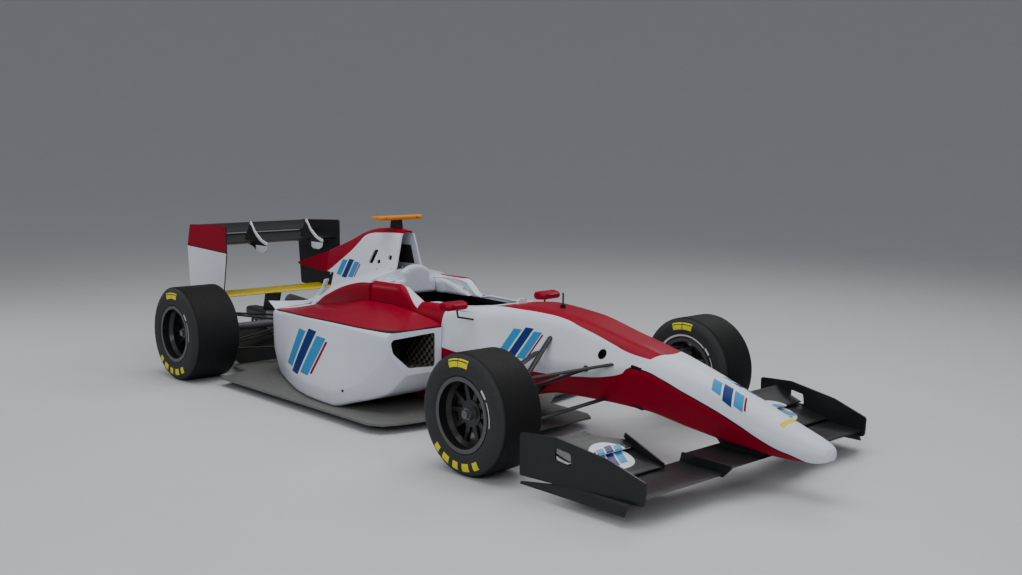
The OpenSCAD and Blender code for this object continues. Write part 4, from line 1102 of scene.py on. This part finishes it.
# The middle pad: a straight face behind the helmet under a domed top
PAD_BACK = BULKHEAD + 0.030 + GAP
dome = [(.150 * math.sin(a), .642 + .147 * math.cos(a)) for a in np.linspace(.745, -.745, 24)[:12]]
ring = mirrored([(.146, .608), (.150, .640), (.146, .688), (.128, .696), (.106, .700), (.104, .720), (.1025, .736)]
                + dome)
middle = np.array([0.0, 0.690])
rows = [[(PAD_BACK + depth, *(middle + (np.array(q) - middle) * size)) for q in ring]
        for depth, size in ((.004, .975), (.012, 1.0), (.034, 1.0), (.044, .985), (.049, .955))]
head = pad("headrest_middle", rows)
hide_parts("headrest")


def side_pad_top(s):
    return float(np.interp(-s, [1.15, 1.20, 1.35, 1.42, 1.56], [.580, .602, .676, .686, .686]))


for side, name in SIDES:
    plan = rounded([(fx(-1.205), .168), (PAD_BACK + .115, .168), (PAD_BACK + .085, .157), (PAD_BACK + .006, .157),
                    (PAD_BACK + .006, .216), (fx(-1.340), .217), (fx(-1.205), .206)],
                   [.014, .040, .020, .006, .070, .020, .010], 6, 10)
    rows = [[(x, side * y, .606) for x, y in plan],
            [(x, side * y, side_pad_top(x - FRONT_AXLE)) for x, y in plan]]
    pad("headrest_" + name, rows)

# Harness webbing laid over the seat, and its buckle

STRAP_EDGE = [(u, -.5) for u in (-.5, -.25, 0, .25, .5)] + [(u, .5) for u in (.5, .25, 0, -.25, -.5)]
WEBBING = webbing_cloth()


def webbing(name, points, width, thick=0.0024):
    """A flat strap through points that faces away from the seat."""
    path = np.array(curve_through(points, 8))
    rows = []
    for i, q in enumerate(path):
        along = direction(path, i)
        across = np.array([0.0, 1.0, 0.0]) - along[1] * along
        across /= np.linalg.norm(across)
        up = np.cross(along, across)
        rows.append([q + across * width * u + up * thick * v for u, v in STRAP_EDGE])
    obj = loft(name, rows, WEBBING)


SHOULDER = [(-1.424, .072, .470), (-1.412, .072, .496), (-1.392, .071, .484), (-1.345, .066, .373),
            (-1.288, .058, .254), (-1.235, .044, .176), (-1.180, .026, .132)]
LAP = [(-1.262, .152, .226), (-1.235, .118, .176), (-1.195, .072, .138), (-1.168, .030, .124)]
for side, name in SIDES:
    webbing("shoulder_strap_" + name, [(fx(s), side * y, z) for s, y, z in SHOULDER], 0.050)
    webbing("lap_strap_" + name, [(fx(s), side * y, z) for s, y, z in LAP], 0.044)
webbing("middle_strap", [(fx(s), 0, z) for s, z in ((-1.165, .118), (-1.110, .112), (-1.040, .117), (-1.000, .122))],
        0.044)
BUCKLE = [(.016, .120), (.031, .121), (.034, .126), (.034, .136), (.030, .141), (.020, .143), (.010, .1435),
          (.002, .1436)]
rings = [[(fx(-1.168) + r * c, r * s, h - r * c * 0.25) for c, s in circle(32)] for r, h in BUCKLE]
loft("harness_buckle", rings, STEEL)

# Steering wheel: grips, screen, switches; its face looks back at the driver
FACE = fx(-0.802)
HUB = 0.548
low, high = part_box("steering_wheel")
grip_y = high[1] - 0.015
for side, name in SIDES:
    path = [(FACE + .012, side * (grip_y - .004 * (q * q)), HUB + .006 + .050 * q) for q in np.linspace(-1, 1, 17)]
    tube("grip_" + name, path, .0185, RUBBER, "steering_wheel", sides=20)


def plate_on_wheel(name, y, z, half_y, half_z, height, material, round_off):
    """A rounded plate or knob that stands on the wheel's face."""
    ring = rounded_box(half_y, half_z, round_off, 6, 1)
    rows = [[(FACE + d, y + a * m, HUB + z + b * m) for a, b in ring] for d, m in
            ((.002, 1), (0, 1), (-height * .6, 1), (-height * .9, .96), (-height, .88))]
    return loft(name, rows, material, "steering_wheel")


plate_on_wheel("wheel_screen", 0, .034, .034, .019, .0035, SCREEN, .004)
BUTTONS = [(-.044, .052, RED), (.044, .052, NAVY), (-.046, .012, YELLOW), (.046, .012, CYAN), (-.022, -.014, WHITE),
           (.022, -.014, RED), (-.036, -.040, CYAN), (.036, -.040, YELLOW)]
for k, (y, z, tint) in enumerate(BUTTONS):
    plate_on_wheel("wheel_button_%d" % k, y, z, .0062, .0062, .0055, knob("knob_%d" % k, tint), .006)
plate_on_wheel("wheel_dial", 0, -.036, .012, .012, .009, STEEL, .0118)

# Mirror glass and camera lenses
for side, name in SIDES:
    ring = rounded_box(.068, .0165, .013, 6, 2)
    rows = [[(fx(-.772) + d, side * .350 + a * m, .653 + b * m) for a, b in ring] for d, m in
            ((.003, 1), (-.0008, 1), (-.0015, .985))]
    loft("mirror_glass_" + name, rows, GLASS)
    rows = [[(tail_at(.14) + .0432 + d, side * .118 + r * c, 1.058 + r * s) for c, s in circle(24)]
            for d, r in ((-.006, .0075), (.0006, .0075), (.0012, .006), (-.0005, .0052), (.0004, .003), (.0006, .0006))]
    loft("camera_lens_" + name, rows, SCREEN)

# Tyres

def tyre(where):
    cx, cy, cz, w = WHEELS[where]
    r, flange, bead = cz, 0.178, 0.165
    seat = w / 2 - .005 - .008 - GAP
    half = [(bead + GAP, seat), (flange + GAP, seat), (flange + .004, w / 2 - .008), (flange + .016, w / 2 - .002),
            ((flange + r) / 2 + .008, w / 2), (r - .026, w / 2 - .006), (r - .010, w / 2 - .016),
            (r - .002, w / 2 - .028), (r, w / 2 - .048)]
    outside = curve_through(half[2:] + [(a, -b) for a, b in half[:1:-1]], 5)
    profile = half[:2] + [(min(a, r), max(-w / 2, min(w / 2, b))) for a, b in outside]
    profile += [(a, -b) for a, b in half[1::-1]]
    rings = [[(cx + a * c, cy + b, cz + a * s) for a, b in profile] for c, s in circle(144)]
    obj = loft("tyre_shell_" + where, rings, tyre_rubber(where), "wheel_" + where, 50.0, closed=True)
    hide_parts("tyre_" + where)


for where in WHEELS:
    tyre(where)

# Finishes on the solids that stay in view

LOOKS = {
    "front_wing_flaps": flap_paint(), "dash": dash_paint(), "fin": plain_paint("paint_red", RED, 0.07),
    "mirrors": plain_paint("paint_mirrors", RED, 0.07, lambda g: 0.6285 - g.z),
    "camera_pod": plain_paint("paint_camera", ORANGE, 0.06, lambda g: 1.043 - g.z),
    "beam_wing": plain_paint("paint_beam", YELLOW, 0.06, lambda g: g.least(0.0125 - abs(g.y), 0.449 - g.z)),
    "radiators": core_grid(), "floor": floor_board(), "engine": ALLOY, "gearbox": ALLOY, "rain_light": lamp_glass(),
    "rear_wing": rear_wing_paint(), "rear_wing_end_plates": rear_plate_paint(), "steering_wheel": BLACK_TRIM,
    "aerial": BLACK_TRIM, "plank": BLACK_TRIM, "exhaust": STEEL, "knuckle_right": STEEL, "knuckle_left": STEEL,
    "rear_uprights": STEEL}
for name in ("front_wing", "front_wing_end_plates", "seat", "diffuser", "crash_box", "rear_wing_flap",
             "front_upper_wishbones", "front_lower_wishbones", "front_pushrods", "steering_rack",
             "rear_upper_wishbones", "rear_lower_wishbones", "rear_pushrods"):
    LOOKS[name] = CARBON
for where in WHEELS:
    LOOKS["wheel_" + where] = rim_paint(where)
    LOOKS["disc_" + where] = STEEL
BEVELLED = ("front_wing_end_plates", "rear_wing_end_plates", "fin", "floor", "diffuser", "dash", "steering_wheel")
for name, material in LOOKS.items():
    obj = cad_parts[name]
    obj.data.materials.clear()
    obj.data.materials.append(material)
    if name in BEVELLED:
        bevel(obj, 0.0012, 2, 45.0)

# Stage, lights and camera

# The floor is flat round the car and rises far out into a backdrop without a corner
FLAT, BOWL, BOWL_TOP = 11.0, 34.0, 20.0
rings = [(r, BOWL_TOP * (max(r - FLAT, 0.0) / BOWL) ** 2) for r in (6, 11, 13, 15, 18, 21, 24, 28, 32, 36, 40, 45)]
count = 96
verts = [(r * c, r * s, z) for r, z in rings for c, s in circle(count)]
faces = [tuple(range(count))]
for i in range(len(rings) - 1):
    for j in range(count):
        a, b = i * count + j, i * count + (j + 1) % count
        faces.append((a, a + count, b + count, b))
g = Graph("ground", rough=0.55)
ground = g.done(g.shade((0.62, 0.63, 0.65), 0.02, 2.0), g.noise(12.0, 4.0) * 0.1 + 0.5)
floor = new_mesh("ground", verts, faces, ground, None)


def lamp(name, place, aim, size, power):
    data = bpy.data.lights.new(name, "AREA")
    data.shape = "RECTANGLE"
    data.size, data.size_y = size
    data.energy = power
    obj = bpy.data.objects.new(name, data)
    bpy.context.scene.collection.objects.link(obj)
    obj.location = place
    obj.rotation_mode = "QUATERNION"
    obj.rotation_quaternion = (Vector(aim) - Vector(place)).to_track_quat("-Z", "Y")


lamp("over", (0.5, -0.5, 5.5), (0.2, 0, 0.4), (6.0, 4.5), 205)
lamp("near", (3.5, -5.5, 3.2), (0.2, -0.2, 0.4), (4.0, 2.5), 110)
lamp("far", (-0.3, 5.2, 5.4), (-0.3, 0, 0.5), (4.0, 2.5), 100)
lamp("nose", (6.5, 1.0, 2.6), (1.5, 0, 0.3), (3.0, 2.0), 45)
lamp("rear", (-4.6, -2.9, 2.5), (-2.1, -0.45, 0.7), (2.0, 1.5), 34)
world = bpy.data.worlds.new("studio")
bpy.context.scene.world = world
world.use_nodes = True
back = next(n for n in world.node_tree.nodes if n.type == "BACKGROUND")
back.inputs["Color"].default_value = (0.80, 0.83, 0.88, 1)
back.inputs["Strength"].default_value = 0.30

# The camera as fitted to the photo
SENSOR = 36.0
FOCAL_PIXELS, PICTURE_WIDTH = 1147.14, 1022
yaw, pitch, roll = 2.3891, -0.1295, 0.0107
forward = Vector((math.cos(pitch) * math.cos(yaw), math.cos(pitch) * math.sin(yaw), math.sin(pitch)))
right = forward.cross(Vector((0, 0, 1))).normalized()
above = right.cross(forward)
right, above = (math.cos(roll) * right + math.sin(roll) * above, math.cos(roll) * above - math.sin(roll) * right)
camera = bpy.data.objects.new("camera", bpy.data.cameras.new("camera"))
bpy.context.scene.collection.objects.link(camera)
camera.data.sensor_width = SENSOR
camera.data.lens = FOCAL_PIXELS * SENSOR / PICTURE_WIDTH
turn = Matrix((right, above, -forward)).transposed()
camera.matrix_world = Matrix.Translation((fx(3.8808), -4.2626, 1.543)) @ turn.to_4x4()
bpy.context.scene.camera = camera
